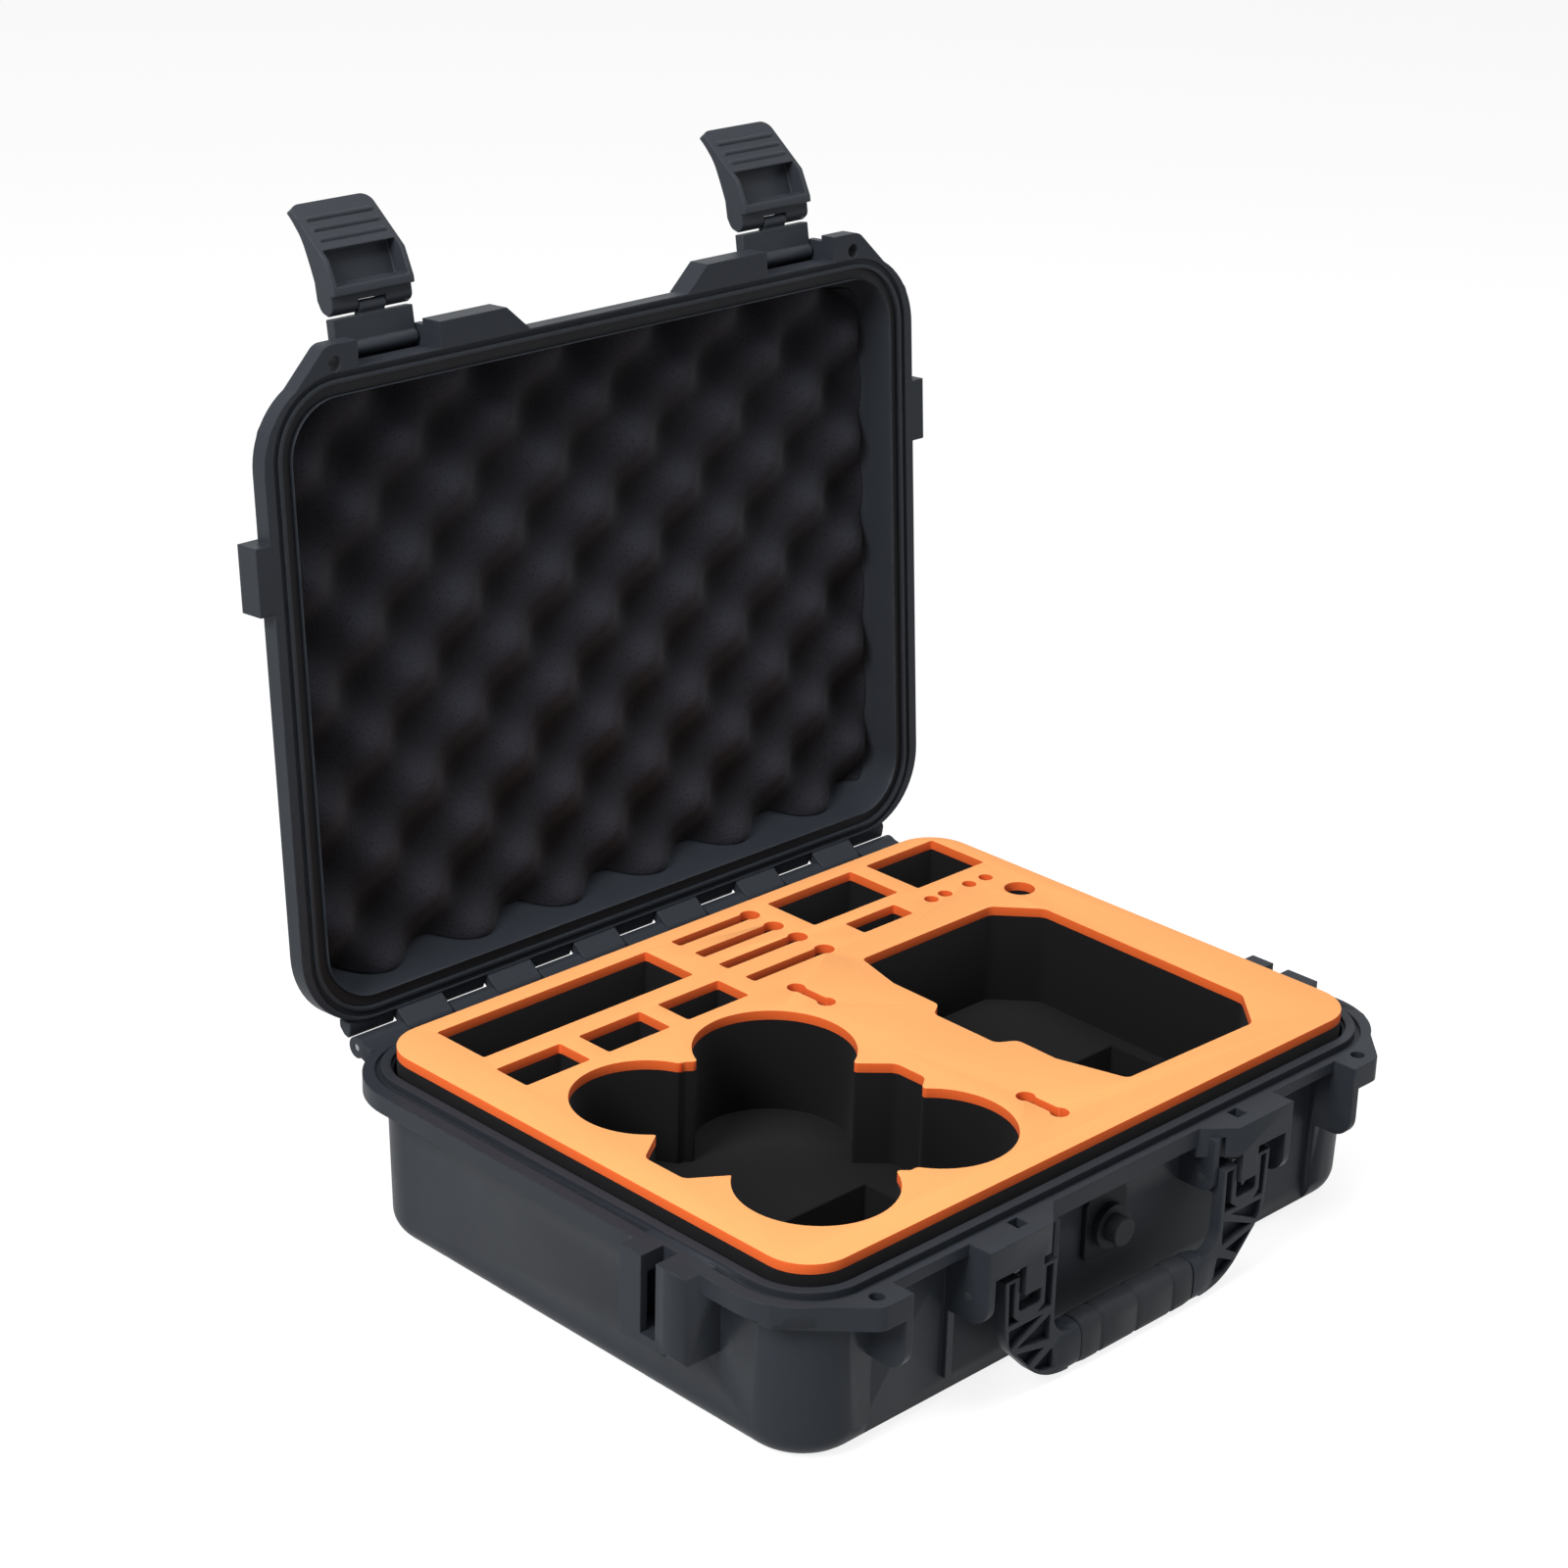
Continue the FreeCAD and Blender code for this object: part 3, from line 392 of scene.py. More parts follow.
def bar(centre, low, high, radius, segments=28):
    """A round bar along X."""
    form = bmesh.new()
    bmesh.ops.create_cone(form, cap_ends=True, segments=segments, radius1=radius, radius2=radius,
                          depth=high - low)
    bmesh.ops.rotate(form, cent=(0, 0, 0), matrix=Matrix.Rotation(math.pi / 2, 3, "Y"), verts=form.verts)
    bmesh.ops.translate(form, vec=((low + high) / 2, centre[0], centre[1]), verts=form.verts)
    return form


def gather(forms):
    """Puts several closed forms into one."""
    whole = bmesh.new()
    for form in forms:
        mesh = bpy.data.meshes.new("part")
        form.to_mesh(mesh)
        form.free()
        whole.from_mesh(mesh)
        bpy.data.meshes.remove(mesh)
    return whole


def carve(form, tools, operation="DIFFERENCE"):
    """Cuts tools out of a form, or joins them to it."""
    def holder(shape):
        mesh = bpy.data.meshes.new("shape")
        shape.to_mesh(mesh)
        shape.free()
        keeper = bpy.data.objects.new("shape", mesh)
        bpy.context.scene.collection.objects.link(keeper)
        return keeper
    body = holder(form)
    cutters = [holder(tool) for tool in tools]
    for cutter in cutters:
        change = body.modifiers.new("carve", "BOOLEAN")
        change.operation = operation
        change.solver = "EXACT"
        change.object = cutter
    graph = bpy.context.evaluated_depsgraph_get()
    graph.update()
    mesh = bpy.data.meshes.new_from_object(body.evaluated_get(graph))
    result = bmesh.new()
    result.from_mesh(mesh)
    bpy.data.meshes.remove(mesh)
    for keeper in [body] + cutters:
        shape = keeper.data
        bpy.data.objects.remove(keeper)
        bpy.data.meshes.remove(shape)
    bmesh.ops.remove_doubles(result, verts=result.verts, dist=1e-4)
    return result


def mirrored(form):
    other = form.copy()
    bmesh.ops.scale(other, vec=(-1, 1, 1), verts=other.verts)
    bmesh.ops.reverse_faces(other, faces=other.faces)
    return other


def open_lid(form):
    turn = Matrix.Rotation(LID_OPEN, 3, "X")
    bmesh.ops.rotate(form, cent=(0, HINGE_Y, HINGE_Z), matrix=turn, verts=form.verts)
    return form


def to_metres(form):
    bmesh.ops.scale(form, vec=(MM, MM, MM), verts=form.verts)
    return form


def ease(piece, width, segments=2):
    """Rounds a rigid piece's edges."""
    change = piece.modifiers.new("eased_edges", "BEVEL")
    change.width = width
    change.segments = segments
    change.limit_method = "ANGLE"
    change.angle_limit = math.radians(35)
    change.harden_normals = False


def rigid_piece(name, form, material, body, width=0.45 * MM, node=None):
    piece = new_piece(name, to_metres(form), material)
    ease(piece, width)
    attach(piece, body)
    if node:
        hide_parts(node)
    return piece


FINISHES = {}


def soft_piece(piece, node, body):
    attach(piece, body)
    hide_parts(node)


def merged(node):
    """A clean bmesh of a CAD node, with its flat faces joined."""
    form = bmesh.new()
    form.from_mesh(NODES[node].data)
    bmesh.ops.remove_doubles(form, verts=form.verts, dist=SAME_PLACE)
    bmesh.ops.dissolve_limit(form, angle_limit=math.radians(0.6), use_dissolve_boundaries=False,
                             verts=form.verts, edges=form.edges, delimit={"NORMAL"})
    return form


def round_wells(form, wide, small):
    """Rounds the upright corners of the wells, widely in the two large ones."""
    for size, large in ((wide, True), (small, False)):
        upright = []
        for edge in form.edges:
            first, second = edge.verts[0].co, edge.verts[1].co
            leaning = (first - second).xy.length > UPRIGHT_WITHIN
            if leaning or abs(first.z - second.z) < MM or len(edge.link_faces) != 2:
                continue
            place = first / MM
            drone = -152 < place.x < -14 and -113 < place.y < 49
            controller = 22 < place.x < 141 and -106 < place.y < 50
            inside = abs(place.x) < 160 and abs(place.y) < 118
            if inside and edge.calc_face_angle(0.0) > math.radians(24) and (drone or controller) == large:
                upright.append(edge)
        bmesh.ops.bevel(form, geom=upright, offset=size, offset_type="OFFSET", segments=4, profile=0.5,
                        affect="EDGES", material=-1, clamp_overlap=False)


def soften(form, radius, segments):
    """Rounds the crisp edges where a layer was cut."""
    crisp = []
    for edge in form.edges:
        level = abs(edge.verts[0].co.z - edge.verts[1].co.z) < 1e-5
        if level and len(edge.link_faces) == 2 and edge.calc_face_angle(0.0) > math.radians(50):
            crisp.append(edge)
    bmesh.ops.bevel(form, geom=crisp, offset=radius, offset_type="OFFSET", segments=segments, profile=0.5,
                    affect="EDGES", material=-1, clamp_overlap=True)
    bmesh.ops.recalc_face_normals(form, faces=form.faces)


# Operators

class CASE_OT_shells(bpy.types.Operator):
    """Finishes the moulded base and lid"""
    bl_idname = "carrying_case.shells"
    bl_label = "Shells"

    def base(self, plastic):
        """The base with its strap brackets: a broad block, a slot open at the top and a space behind it."""
        form = merged("base_shell")
        bmesh.ops.scale(form, vec=(1 / MM, 1 / MM, 1 / MM), verts=form.verts)
        old = [prism([(169.2, 30.0), (192.0, 30.0), (192.0, 36.5), (169.35, 36.5)], "Y", -76.0, -44.0),
               prism([(169.3, 36.0), (192.0, 36.0), (192.0, 66.0), (169.9, 66.0)], "Y", -49.4, -44.0),
               prism([(181.0, 65.0), (192.0, 65.0), (192.0, 75.0), (181.0, 75.0)], "Y", -49.4, -44.0)]
        block = prism([(168.0, 36.5), (186.6, 36.5), (188.0, 38.0), (188.0, 74.0), (168.0, 74.0)],
                      "Y", -85.0, -49.4)
        slot = prism([(176.5, 40.8), (192.0, 40.8), (192.0, 76.0), (176.5, 76.0)], "Y", -69.0, -60.8)
        space = prism([(176.5, 40.8), (184.5, 40.8), (184.5, 66.0), (176.5, 66.0)], "Y", -77.0, -53.0)
        form = carve(form, [mirrored(tool) for tool in old] + old)
        form = carve(form, [mirrored(block), block], "UNION")
        form = carve(form, [mirrored(slot), mirrored(space), slot, space])
        piece = new_piece("base_shape", to_metres(form), plastic)
        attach(piece, "base")
        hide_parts("base_shell")

    def lips(self, outline, places):
        """One lip for each of the knuckle places."""
        return [prism(outline, "X", place * KNUCKLE_PITCH - LIP_REACH, place * KNUCKLE_PITCH + LIP_REACH)
                for place in places]

    def execute(self, context):
        finish = context.scene.case_finish
        sizes = context.scene.case_sizes
        plastic = moulded("case_moulded_plastic", tuple(finish.shell), 0.44, 0.42 * MM, 0.05 * MM, 0.5,
                          sizes.edge_round)
        FINISHES["shell"] = plastic
        dress("lid_shell", plastic)
        self.base(plastic)
        rim_lip = [(135.6, 66.6), (135.6, 73.2), (136.6, 73.4), (140.0, 70.0), (140.2, 68.6), (138.8, 66.6)]
        lid_lip = [(135.6, 82.2), (135.6, 75.4), (137.5, 75.1), (141.4, 76.0), (142.8, 76.8), (142.0, 79.5),
                   (139.0, 82.2)]
        lips = self.lips(rim_lip, range(-5, 6, 2))
        rigid_piece("hinge_rim_lips", gather(lips), plastic, "base")
        lips = [open_lid(lip) for lip in self.lips(lid_lip, range(-6, 7, 2))]
        rigid_piece("hinge_lid_lips", gather(lips), plastic, "lid")
        seat = [(-128.0, 81.0), (-135.8, 81.0), (-135.8, 88.0), (-134.6, 88.0), (-134.6, 84.6), (-131.4, 84.6),
                (-131.4, 89.0), (-128.0, 89.0)]
        roof = [(-125.5, 93.9), (-139.4, 93.9), (-139.4, 95.0), (-125.5, 95.4)]
        seats = []
        for low, high in ((91.2, 132.2), (-132.2, -91.2)):
            seats += [open_lid(prism(outline, "X", low, high)) for outline in (seat, roof)]
        rigid_piece("latch_seats", gather(seats), plastic, "lid")
        return {"FINISHED"}


class CASE_OT_hardware(bpy.types.Operator):
    """Finishes latches, pins, valve, grip and seal"""
    bl_idname = "carrying_case.hardware"
    bl_label = "Hardware"

    def execute(self, context):
        finish = context.scene.case_finish
        rounding = context.scene.case_sizes.edge_round
        latch = moulded("latch_plastic", tuple(finish.latch), 0.4, 0.4 * MM, 0.04 * MM, 0.6, rounding)
        trim = moulded("valve_plastic", tuple(finish.trim), 0.5, 0.35 * MM, 0.04 * MM, 0.3, rounding)
        grip = moulded("grip_rubber", tuple(finish.grip), 0.62, 0.5 * MM, 0.08 * MM, 0.3, rounding, 0.2)
        seal = moulded("seal_rubber", tuple(finish.seal), 0.6, 0.4 * MM, 0.04 * MM, 0.1, rounding * 0.6, 0.2)
        steel = metal("pin_steel", tuple(finish.steel))
        for side in ("right", "left"):
            for pin in ("handle_pivot_pin_", "latch_pin_", "lever_pin_"):
                dress(pin + side, steel)
        dress("hinge_pin", steel)
        dress("valve_body", trim)
        dress("valve_knob", trim)
        FINISHES["latch"] = latch
        FINISHES["grip"] = grip
        dress("lid_seal", seal)
        return {"FINISHED"}


class CASE_OT_latches(bpy.types.Operator):
    """Makes both latches: a link and a flared lever with a hook, a window and finger ribs"""
    bl_idname = "carrying_case.latches"
    bl_label = "Latches"

    MIDDLE = 111.7
    HALF = 20.1
    THIRD = 13.4
    PIN_Y = -139.6
    PIN_Z = 90.3
    LINK_LEN = 16.0
    OPEN = math.radians(-96.0)

    def place(self, points):
        """Points given down from the pin and outward, as the part's (y, z)."""
        return [(self.PIN_Y - out, self.PIN_Z - down) for down, out in points]

    def opened(self, form):
        turn = Matrix.Rotation(self.OPEN, 3, "X")
        bmesh.ops.rotate(form, cent=(0, self.PIN_Y, self.PIN_Z), matrix=turn, verts=form.verts)
        return open_lid(form)

    def link(self):
        low, high = self.MIDDLE - self.HALF, self.MIDDLE + self.HALF
        plate = prism(self.place([(-1.0, -1.5), (-2.4, 2.0), (0.5, 3.4), (12.8, 3.2), (12.8, -1.5)]),
                      "X", low, high)
        tongue = prism(self.place([(11.0, -1.2), (11.0, 2.4), (16.0, 2.4), (16.0, -1.2)]), "X",
                       low + self.THIRD + 0.2, high - self.THIRD - 0.2)
        eye = bar(self.place([(0, 0)])[0], low, high, 3.2)
        joint = bar(self.place([(self.LINK_LEN, 0)])[0], low + self.THIRD + 0.2,
                    high - self.THIRD - 0.2, 2.5)
        return gather([plate, tongue, eye, joint])

    def lever(self):
        low, high = self.MIDDLE - self.HALF, self.MIDDLE + self.HALF
        outline = [(13.7, 1.2), (15.5, 5.2), (20.0, 7.2), (27.5, 7.4), (34.5, 9.2), (44.5, 12.2),
                   (52.5, 17.8), (55.4, 20.8), (57.6, 18.4), (36.2, -1.35), (24.3, -4.9), (21.7, -4.9),
                   (21.7, -2.4), (16.0, -2.4)]
        form = prism(self.place(outline), "X", low, high,
                     rounds=((13, 1.8), (6, 2.5), (5, 3.5), (4, 2.5), (1, 1.6)))
        tip_y, tip_z = self.place([(56.5, 19.6)])[0]
        corners = []
        for edge in form.edges:
            middle = (edge.verts[0].co + edge.verts[1].co) / 2
            flat = abs(edge.verts[0].co.x - edge.verts[1].co.x) < 1e-5
            if flat and math.dist((middle.y, middle.z), (tip_y, tip_z)) < 1.2:
                corners.append(edge)
        bmesh.ops.bevel(form, geom=corners, offset=5.0, offset_type="OFFSET", segments=7, profile=0.5,
                        affect="EDGES", material=-1)
        bmesh.ops.recalc_face_normals(form, faces=form.faces)
        window = prism(self.place([(25.4, -7), (25.4, 4.6), (33.0, 6.2), (38.6, 7.6), (39.6, 6.6), (39.6, -7)]),
                       "X", self.MIDDLE - 17.9, self.MIDDLE + 17.9)
        gap = prism(self.place([(10.0, -8), (10.0, 10), (18.9, 10), (18.9, -8)]), "X",
                    low + self.THIRD - 0.3, high - self.THIRD + 0.3)
        form = carve(form, [window, gap])
        ribs = [bar(self.place([spot])[0], self.MIDDLE - 16.5, self.MIDDLE + 16.5, 1.15, 16)
                for spot in ((43.4, 5.55), (47.4, 9.2), (51.4, 12.85))]
        return gather([form] + ribs)

    def execute(self, context):
        for maker, name in ((self.link, "latch_link"), (self.lever, "latch_lever")):
            form = self.opened(maker())
            other = mirrored(form)
            for side, shape in (("right", form), ("left", other)):
                node = name + "_" + side
                rigid_piece(name + "_shape_" + side, shape, FINISHES["latch"], node, 0.4 * MM, node)
        return {"FINISHED"}


class CASE_OT_handle(bpy.types.Operator):
    """Makes the handle: ribbed arms with lugs, swelling into a soft grip with finger rings"""
    bl_idname = "carrying_case.handle"
    bl_label = "Handle"

    FRONT = -145.7
    BACK = -140.6
    GRIP_Y = -140.7
    GRIP_Z = 11.2
    SQUARENESS = 0.62

    def loft(self, sections, segments=44):
        """A closed bar through rounded sections of (x, centre y, centre z, half y, half z)."""
        form = bmesh.new()
        ring = bmesh.ops.create_circle(form, segments=segments, radius=1.0)["verts"]
        shape = []
        for vert in ring:
            angle = math.atan2(vert.co.y, vert.co.x)
            across, along = math.cos(angle), math.sin(angle)
            shape.append((math.copysign(abs(across) ** self.SQUARENESS, across),
                          math.copysign(abs(along) ** self.SQUARENESS, along)))
        rim = list(form.edges)
        for index, (x, mid_y, mid_z, half_y, half_z) in enumerate(sections):
            if index:
                grown = bmesh.ops.extrude_edge_only(form, edges=rim)["geom"]
                fresh = [item for item in grown if isinstance(item, bmesh.types.BMVert)]
                links = {}
                for vert in fresh:
                    for edge in vert.link_edges:
                        if edge.other_vert(vert) in ring:
                            links[edge.other_vert(vert)] = vert
                ring = [links[vert] for vert in ring]
                rim = [item for item in grown if isinstance(item, bmesh.types.BMEdge)]
            for vert, (across, along) in zip(ring, shape):
                vert.co = Vector((x, mid_y + across * half_y, mid_z + along * half_z))
        bmesh.ops.holes_fill(form, edges=[edge for edge in form.edges if len(edge.link_faces) == 1], sides=0)
        bmesh.ops.recalc_face_normals(form, faces=form.faces)
        return form

    def arm(self):
        outline = [(50.4, 56.2), (79.8, 56.2), (78.2, 27.5), (57.0, 5.4), (44.0, 2.6), (40.0, 2.6), (40.0, 20.5),
                   (45.5, 20.8), (50.4, 27.0)]
        plate = prism(outline, "Y", self.FRONT, self.BACK,
                      rounds=((2, 7.0), (3, 8.0), (4, 3.0), (7, 3.0), (8, 3.0)))
        lug = prism([(self.BACK - 0.5, 56.2), (-132.2, 56.2), (-132.2, 45.8), (self.BACK - 0.5, 44.0)],
                    "X", 50.4, 79.2, rounds=((1, 4.2), (2, 4.2)))
        slot = prism([(59.2, 40.6), (71.6, 40.6), (71.6, 60.0), (59.2, 60.0)], "Y", self.FRONT - 4, -130.0,
                     rounds=((0, 1.6), (1, 1.6)))
        deep = self.BACK - 1.5
        pockets = [
            [(74.2, 54.8), (77.6, 54.8), (77.0, 36.2), (71.0, 36.2), (74.2, 39.4)],
            [(52.6, 54.8), (56.6, 54.8), (56.6, 39.0), (60.6, 36.2), (52.6, 36.2)],
            [(57.0, 34.0), (76.6, 34.0), (76.0, 27.6), (74.6, 25.2)],
            [(52.6, 32.4), (52.6, 21.0), (71.4, 24.4)],
            [(71.6, 22.0), (55.2, 18.4), (63.6, 13.4)],
            [(50.4, 16.4), (60.6, 11.4), (56.4, 8.2), (48.0, 6.6)],
        ]
        tools = [slot] + [prism(points, "Y", self.FRONT - 3, deep) for points in pockets]
        body = carve(plate, [lug], "UNION")
        body = carve(body, tools)
        swell = self.loft([(34.6, self.GRIP_Y, self.GRIP_Z, 6.2, 9.6), (37.5, self.GRIP_Y, self.GRIP_Z, 6.3, 9.6),
                           (41.0, self.GRIP_Y - 0.6, self.GRIP_Z, 5.6, 9.5),
                           (45.0, self.GRIP_Y - 1.8, self.GRIP_Z, 4.0, 8.9),
                           (49.5, -143.2, self.GRIP_Z + 0.6, 2.3, 6.5)])
        return gather([body, swell])

    def grip(self):
        sections = [(-34.4, 5.2, 8.6), (-33.6, 6.2, 9.8), (-30.0, 6.5, 10.2)]
        for middle in (-21.8, 0.0, 21.8):
            sections += [(middle - 1.5, 6.5, 10.2), (middle - 0.6, 5.9, 9.6), (middle + 0.6, 5.9, 9.6),
                         (middle + 1.5, 6.5, 10.2)]
        sections += [(30.0, 6.5, 10.2), (33.6, 6.2, 9.8), (34.4, 5.2, 8.6)]
        return self.loft([(x, self.GRIP_Y, self.GRIP_Z, y, z) for x, y, z in sections])

    def execute(self, context):
        arm = self.arm()
        other = mirrored(arm)
        rigid_piece("handle_frame_shape", gather([arm, other]), FINISHES["shell"], "handle",
                    0.4 * MM, "handle_frame")
        rigid_piece("handle_grip_shape", self.grip(), FINISHES["grip"], "handle", 0.5 * MM,
                    "handle_grip")
        return {"FINISHED"}


class CASE_OT_layers(bpy.types.Operator):
    """Makes the black foam layers of the insert"""
    bl_idname = "carrying_case.layers"
    bl_label = "Insert layers"

    def execute(self, context):
        finish = context.scene.case_finish
        radius = context.scene.case_sizes.layer_round
        black = foam("insert_black_foam", tuple(finish.layers), 0.55 * MM, 0.12 * MM, 0.6)
        for node in ("foam_floor_layer", "foam_lower_layer", "foam_upper_layer"):
            form = merged(node)
            if node == "foam_upper_layer":
                round_wells(form, 2.2 * MM, 1.2 * MM)
            soften(form, radius, 2)
            piece = new_piece("insert_" + node.replace("foam_", ""), form, black)
            soft_piece(piece, node, "base")
        return {"FINISHED"}


class CASE_OT_sheet(bpy.types.Operator):
    """Makes the coloured sheet on top of the insert"""
    bl_idname = "carrying_case.sheet"
    bl_label = "Insert sheet"

    def execute(self, context):
        finish = context.scene.case_finish
        bright = foam("insert_sheet_foam", tuple(finish.sheet), 0.5 * MM, 0.05 * MM, 0.22,
                      tuple(finish.sheet_side_shade))
        form = merged("foam_top_sheet")
        round_wells(form, 2.2 * MM, 1.2 * MM)
        soften(form, context.scene.case_sizes.sheet_round, 3)
        piece = new_piece("insert_sheet", form, bright)
        soft_piece(piece, "foam_top_sheet", "base")
        return {"FINISHED"}


class CASE_OT_lid_pad(bpy.types.Operator):
    """Makes the egg-crate pad in the lid"""
    bl_idname = "carrying_case.lid_pad"
    bl_label = "Lid pad"

    CORE = (144.0, 103.0)
    RIM_R = 23.1
    TAPER = 0.0962
    CROWN_R = 16.1
    BACK = 29.1
    CREST = 11.5
    VALLEY = 24.4

    def reach(self, height):
        """How far the pad's side stands from the core rectangle at a height above the rim."""
        crown = 0.0
        start = self.BACK - self.CROWN_R
        if height > start:
            crown = self.CROWN_R - math.sqrt(max(0.0, self.CROWN_R ** 2 - (height - start) ** 2))
        return self.RIM_R - self.TAPER * height - crown

    def held(self, x, y, height):
        """A point drawn in to the pad's outline where it lies outside."""
        core_x = max(-self.CORE[0], min(self.CORE[0], x))
        core_y = max(-self.CORE[1], min(self.CORE[1], y))
        away = Vector((x - core_x, y - core_y))
        limit = self.reach(height)
        if away.length > limit:
            away = away.normalized() * limit
        return core_x + away.x, core_y + away.y

    def execute(self, context):
        sizes = context.scene.case_sizes
        pitch_x = sizes.pad_pitch_x / MM
        pitch_y = 2 * sizes.pad_pitch_y / MM
        step = sizes.pad_step / MM
        half_x = self.CORE[0] + self.RIM_R
        half_y = self.CORE[1] + self.RIM_R
        form = bmesh.new()
        bmesh.ops.create_grid(form, x_segments=int(2 * half_x / step), y_segments=int(2 * half_y / step),
                              size=1.0)
        bmesh.ops.scale(form, vec=(half_x, half_y, 1.0), verts=form.verts)
        for vert in form.verts:
            wave = math.cos(math.tau * vert.co.x / pitch_x) * math.cos(math.tau * vert.co.y / pitch_y)
            rise = ((1 + wave) / 2) ** 1.15
            height = self.VALLEY + (self.CREST - self.VALLEY) * rise
            x, y = self.held(vert.co.x, vert.co.y, height)
            vert.co = Vector((x, y, height))
        bmesh.ops.remove_doubles(form, verts=form.verts, dist=0.7)
        bmesh.ops.dissolve_degenerate(form, dist=0.05, edges=form.edges)
        rim = [edge for edge in form.edges if len(edge.link_faces) == 1]
        for height in (23.6, 25.6, 27.4, 28.6, self.BACK):
            grown = bmesh.ops.extrude_edge_only(form, edges=rim)["geom"]
            rim = [item for item in grown if isinstance(item, bmesh.types.BMEdge)]
            for vert in {vert for edge in rim for vert in edge.verts}:
                core_x = max(-self.CORE[0], min(self.CORE[0], vert.co.x))
                core_y = max(-self.CORE[1], min(self.CORE[1], vert.co.y))
                away = Vector((vert.co.x - core_x, vert.co.y - core_y)).normalized() * self.reach(height)
                vert.co = Vector((core_x + away.x, core_y + away.y, height))
        bmesh.ops.holes_fill(form, edges=rim, sides=0)
        bmesh.ops.triangulate(form, faces=[face for face in form.faces if len(face.verts) > 4])
        bmesh.ops.translate(form, vec=(0, 0, RIM_Z), verts=form.verts)
        to_metres(open_lid(form))
        bmesh.ops.recalc_face_normals(form, faces=form.faces)
        # The depth along the lid of the crests and the valleys, for the painted shade in the hollows.
        along = Matrix.Rotation(LID_OPEN, 3, "X") @ Vector((0, 0, 1))
        hinge = Vector((0, HINGE_Y, HINGE_Z)) * MM
        near, far = (hinge.dot(along) + (RIM_Z + height - HINGE_Z) * MM
                     for height in (self.CREST, self.VALLEY))
        grey = foam("lid_pad_foam", tuple(context.scene.case_finish.pad), 1.5 * MM, 0.6 * MM, 0.95,
                    pit_value=0.35, painted_depth_shade=(along, near, far))
        piece = new_piece("lid_egg_crate_pad", form, grey)
        soft_piece(piece, "lid_foam", "lid")
        return {"FINISHED"}


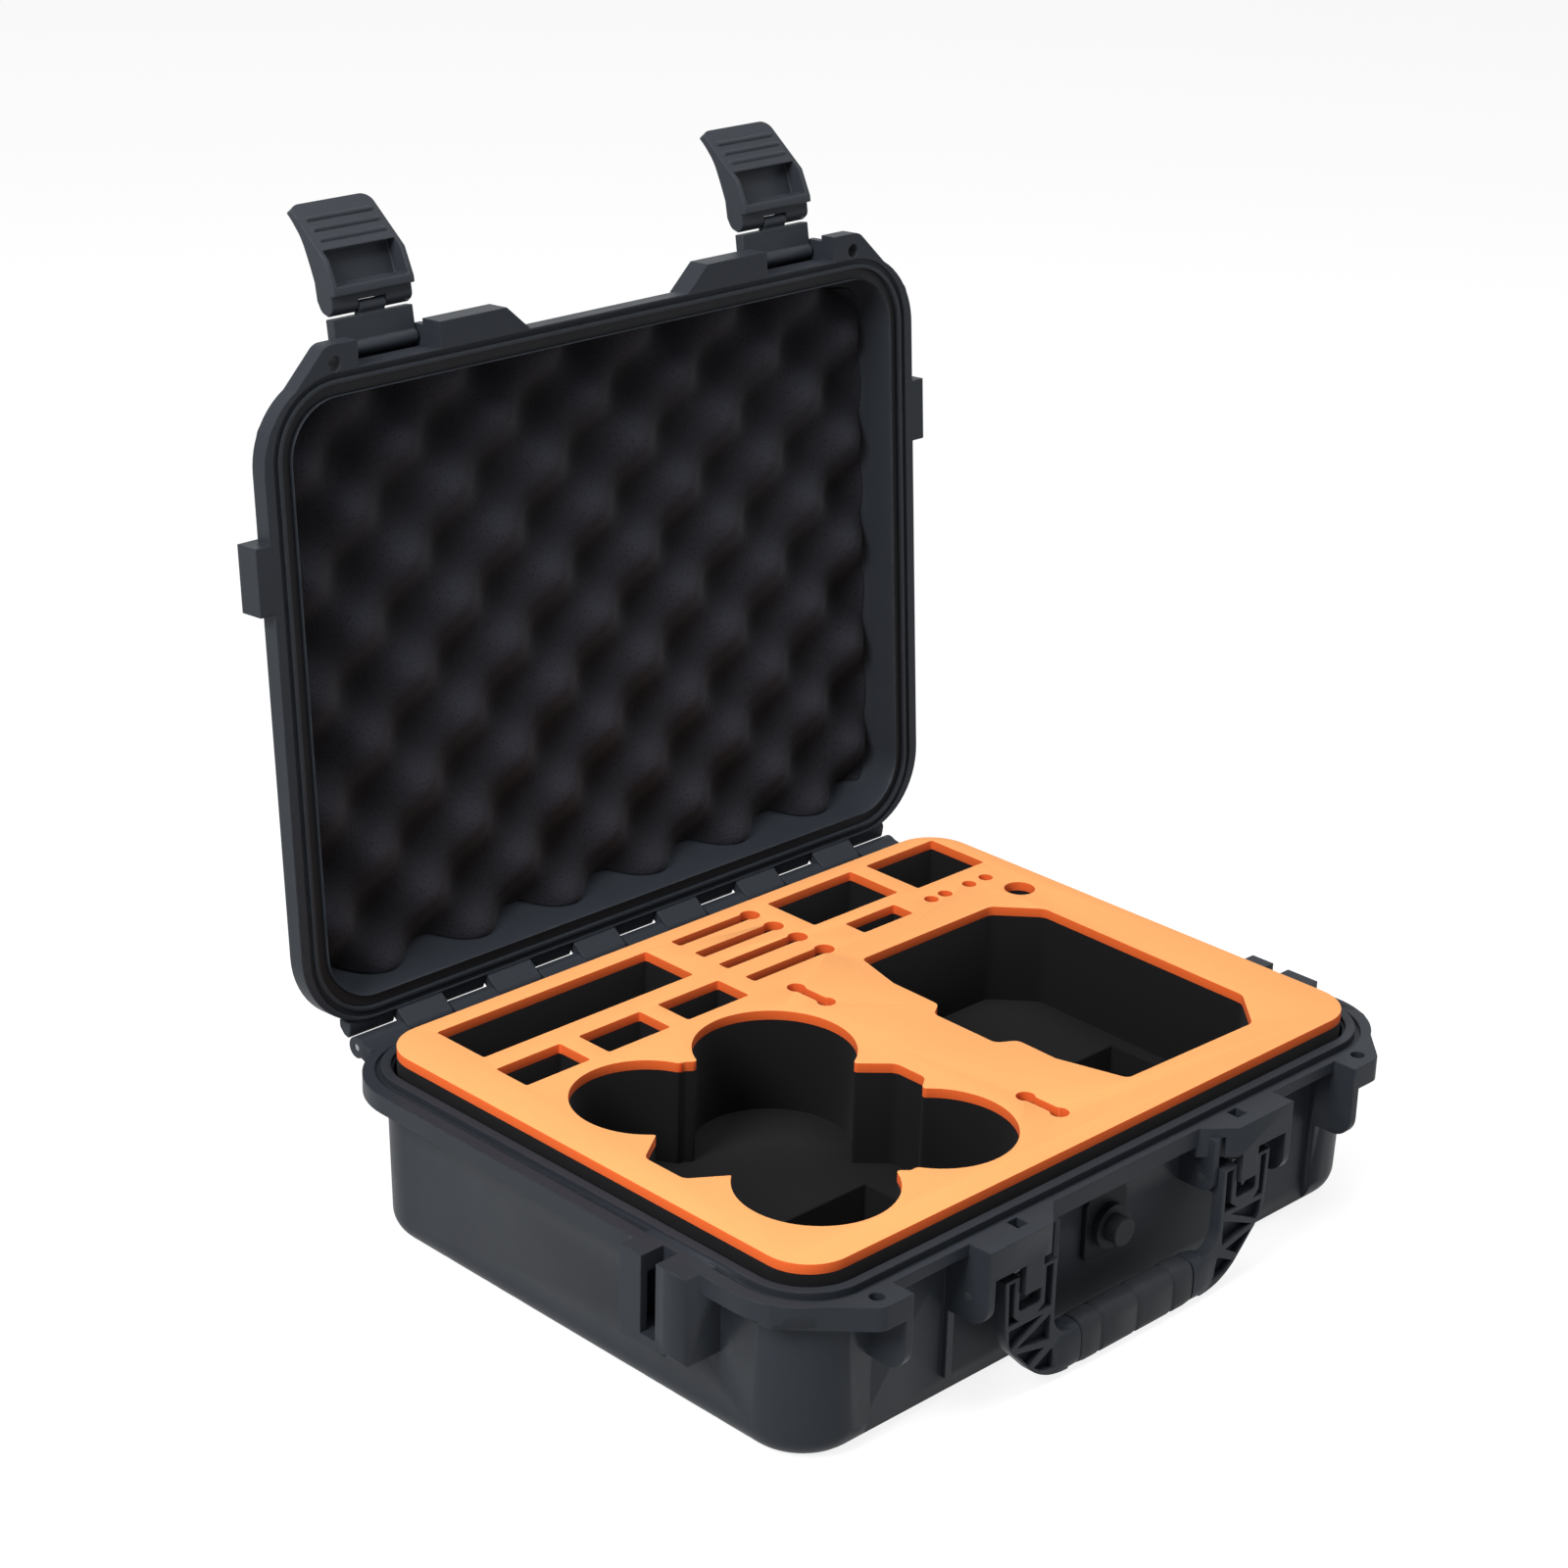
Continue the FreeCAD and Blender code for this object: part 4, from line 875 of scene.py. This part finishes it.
class CASE_OT_stage(bpy.types.Operator):
    """Sets the floor, the lamps, the surroundings and the camera"""
    bl_idname = "carrying_case.stage"
    bl_label = "Stage"

    CAMERA_PLACE = (-0.94491, -0.88252, 0.72928)
    CAMERA_TURNS = (45.114, 22.627, -1.573)

    def straight(self, tree, path):
        """Where a ray comes from the camera, a reflection or a clear material."""
        seen = math_node(tree, "ADD", path.outputs["Is Camera Ray"], path.outputs["Is Glossy Ray"])
        return math_node(tree, "ADD", seen, path.outputs["Is Transmission Ray"], clamp=True)

    def floor(self):
        form = bmesh.new()
        bmesh.ops.create_grid(form, x_segments=2, y_segments=2, size=30.0)
        bmesh.ops.translate(form, vec=(0, 0, CAD_BOX[0][2] - 0.0002), verts=form.verts)
        material = bpy.data.materials.new("pale_floor")
        material.use_nodes = True
        tree = material.node_tree
        tree.nodes.clear()
        sink = add(tree, "ShaderNodeOutputMaterial")
        path = add(tree, "ShaderNodeLightPath")
        plain = feed(tree, add(tree, "ShaderNodeBsdfDiffuse"), Color=(0.55, 0.55, 0.55, 1.0))
        seen = feed(tree, add(tree, "ShaderNodeBsdfDiffuse"), Color=(0.26, 0.26, 0.26, 1.0))
        white = feed(tree, add(tree, "ShaderNodeEmission"), Color=(1, 1, 1, 1), Strength=0.86)
        both = add(tree, "ShaderNodeAddShader")
        tree.links.new(seen.outputs[0], both.inputs[0])
        tree.links.new(white.outputs[0], both.inputs[1])
        choice = add(tree, "ShaderNodeMixShader")
        tree.links.new(self.straight(tree, path), choice.inputs[0])
        tree.links.new(plain.outputs[0], choice.inputs[1])
        tree.links.new(both.outputs[0], choice.inputs[2])
        tree.links.new(choice.outputs[0], sink.inputs["Surface"])
        new_piece("studio_floor", form, material, smooth=False)

    def world(self, scene):
        world = bpy.data.worlds.new("studio")
        world.use_nodes = True
        tree = world.node_tree
        tree.nodes.clear()
        sink = add(tree, "ShaderNodeOutputWorld")
        path = add(tree, "ShaderNodeLightPath")
        strength = spread(tree, self.straight(tree, path), 0.0, 1.0, 0.2, 1.0)
        sky = feed(tree, add(tree, "ShaderNodeBackground"), Color=(1, 1, 1, 1), Strength=strength)
        tree.links.new(sky.outputs[0], sink.inputs["Surface"])
        scene.world = world

    def lamp(self, name, place, target, size, power):
        data = bpy.data.lights.new(name, "AREA")
        data.shape = "DISK"
        data.size = size
        data.energy = power
        lamp = bpy.data.objects.new(name, data)
        lamp.location = place
        lamp.rotation_euler = (Vector(target) - Vector(place)).to_track_quat("-Z", "Y").to_euler()
        bpy.context.scene.collection.objects.link(lamp)

    def camera(self, scene):
        """The view of the photograph, from the left front corner and above."""
        yaw, pitch, roll = (math.radians(turn) for turn in self.CAMERA_TURNS)
        across = Vector((math.cos(yaw), -math.sin(yaw), 0))
        ahead = Vector((math.sin(yaw) * math.cos(pitch), math.cos(yaw) * math.cos(pitch),
                        -math.sin(pitch)))
        below = ahead.cross(across)
        right = across * math.cos(roll) + below * math.sin(roll)
        down = below * math.cos(roll) - across * math.sin(roll)
        turn = Matrix((right, -down, -ahead)).transposed().to_4x4()
        data = bpy.data.cameras.new("photo_camera")
        data.sensor_width = 36.0
        data.lens = 79.79
        data.clip_end = 100.0
        view = bpy.data.objects.new("photo_camera", data)
        view.matrix_world = Matrix.Translation(self.CAMERA_PLACE) @ turn
        scene.collection.objects.link(view)
        scene.camera = view

    def execute(self, context):
        scene = context.scene
        self.floor()
        self.world(scene)
        self.lamp("key_lamp", (-1.75, -0.15, 1.5), (0, 0, 0.1), 1.0, 42.0)
        self.lamp("top_lamp", (0.2, -0.25, 2.1), (0, 0, 0.1), 1.4, 20.0)
        self.lamp("side_lamp", (1.8, -0.9, 1.1), (0, 0, 0.1), 1.0, 2.5)
        self.camera(scene)
        scene.view_settings.view_transform = "Standard"
        return {"FINISHED"}


PIECE_OPERATORS = (CASE_OT_shells, CASE_OT_hardware, CASE_OT_latches, CASE_OT_handle, CASE_OT_layers,
                   CASE_OT_sheet, CASE_OT_lid_pad, CASE_OT_stage)


class CASE_PT_panel(bpy.types.Panel):
    """Lists the case's pieces, colours and sizes"""
    bl_idname = "CASE_PT_panel"
    bl_label = "Carrying Case"
    bl_space_type = "VIEW_3D"
    bl_region_type = "UI"
    bl_category = "Case"

    def draw(self, context):
        column = self.layout.column()
        for maker in PIECE_OPERATORS:
            column.operator(maker.bl_idname)
        for group in (context.scene.case_finish, context.scene.case_sizes):
            for name in group.bl_rna.properties.keys():
                if name not in {"rna_type", "name"}:
                    column.prop(group, name)


CLASSES = (CaseFinish, CaseSizes) + PIECE_OPERATORS + (CASE_PT_panel,)


def register():
    for kind in CLASSES:
        bpy.utils.register_class(kind)
    bpy.types.Scene.case_finish = bpy.props.PointerProperty(type=CaseFinish)
    bpy.types.Scene.case_sizes = bpy.props.PointerProperty(type=CaseSizes)


def unregister():
    del bpy.types.Scene.case_sizes
    del bpy.types.Scene.case_finish
    for kind in reversed(CLASSES):
        bpy.utils.unregister_class(kind)


def write_sizes():
    bpy.context.view_layer.update()


def main():
    register()
    bpy.ops.carrying_case.shells()
    bpy.ops.carrying_case.hardware()
    bpy.ops.carrying_case.latches()
    bpy.ops.carrying_case.handle()
    bpy.ops.carrying_case.layers()
    bpy.ops.carrying_case.sheet()
    bpy.ops.carrying_case.lid_pad()
    bpy.ops.carrying_case.stage()
    write_sizes()


if __name__ == "__main__":
    main()
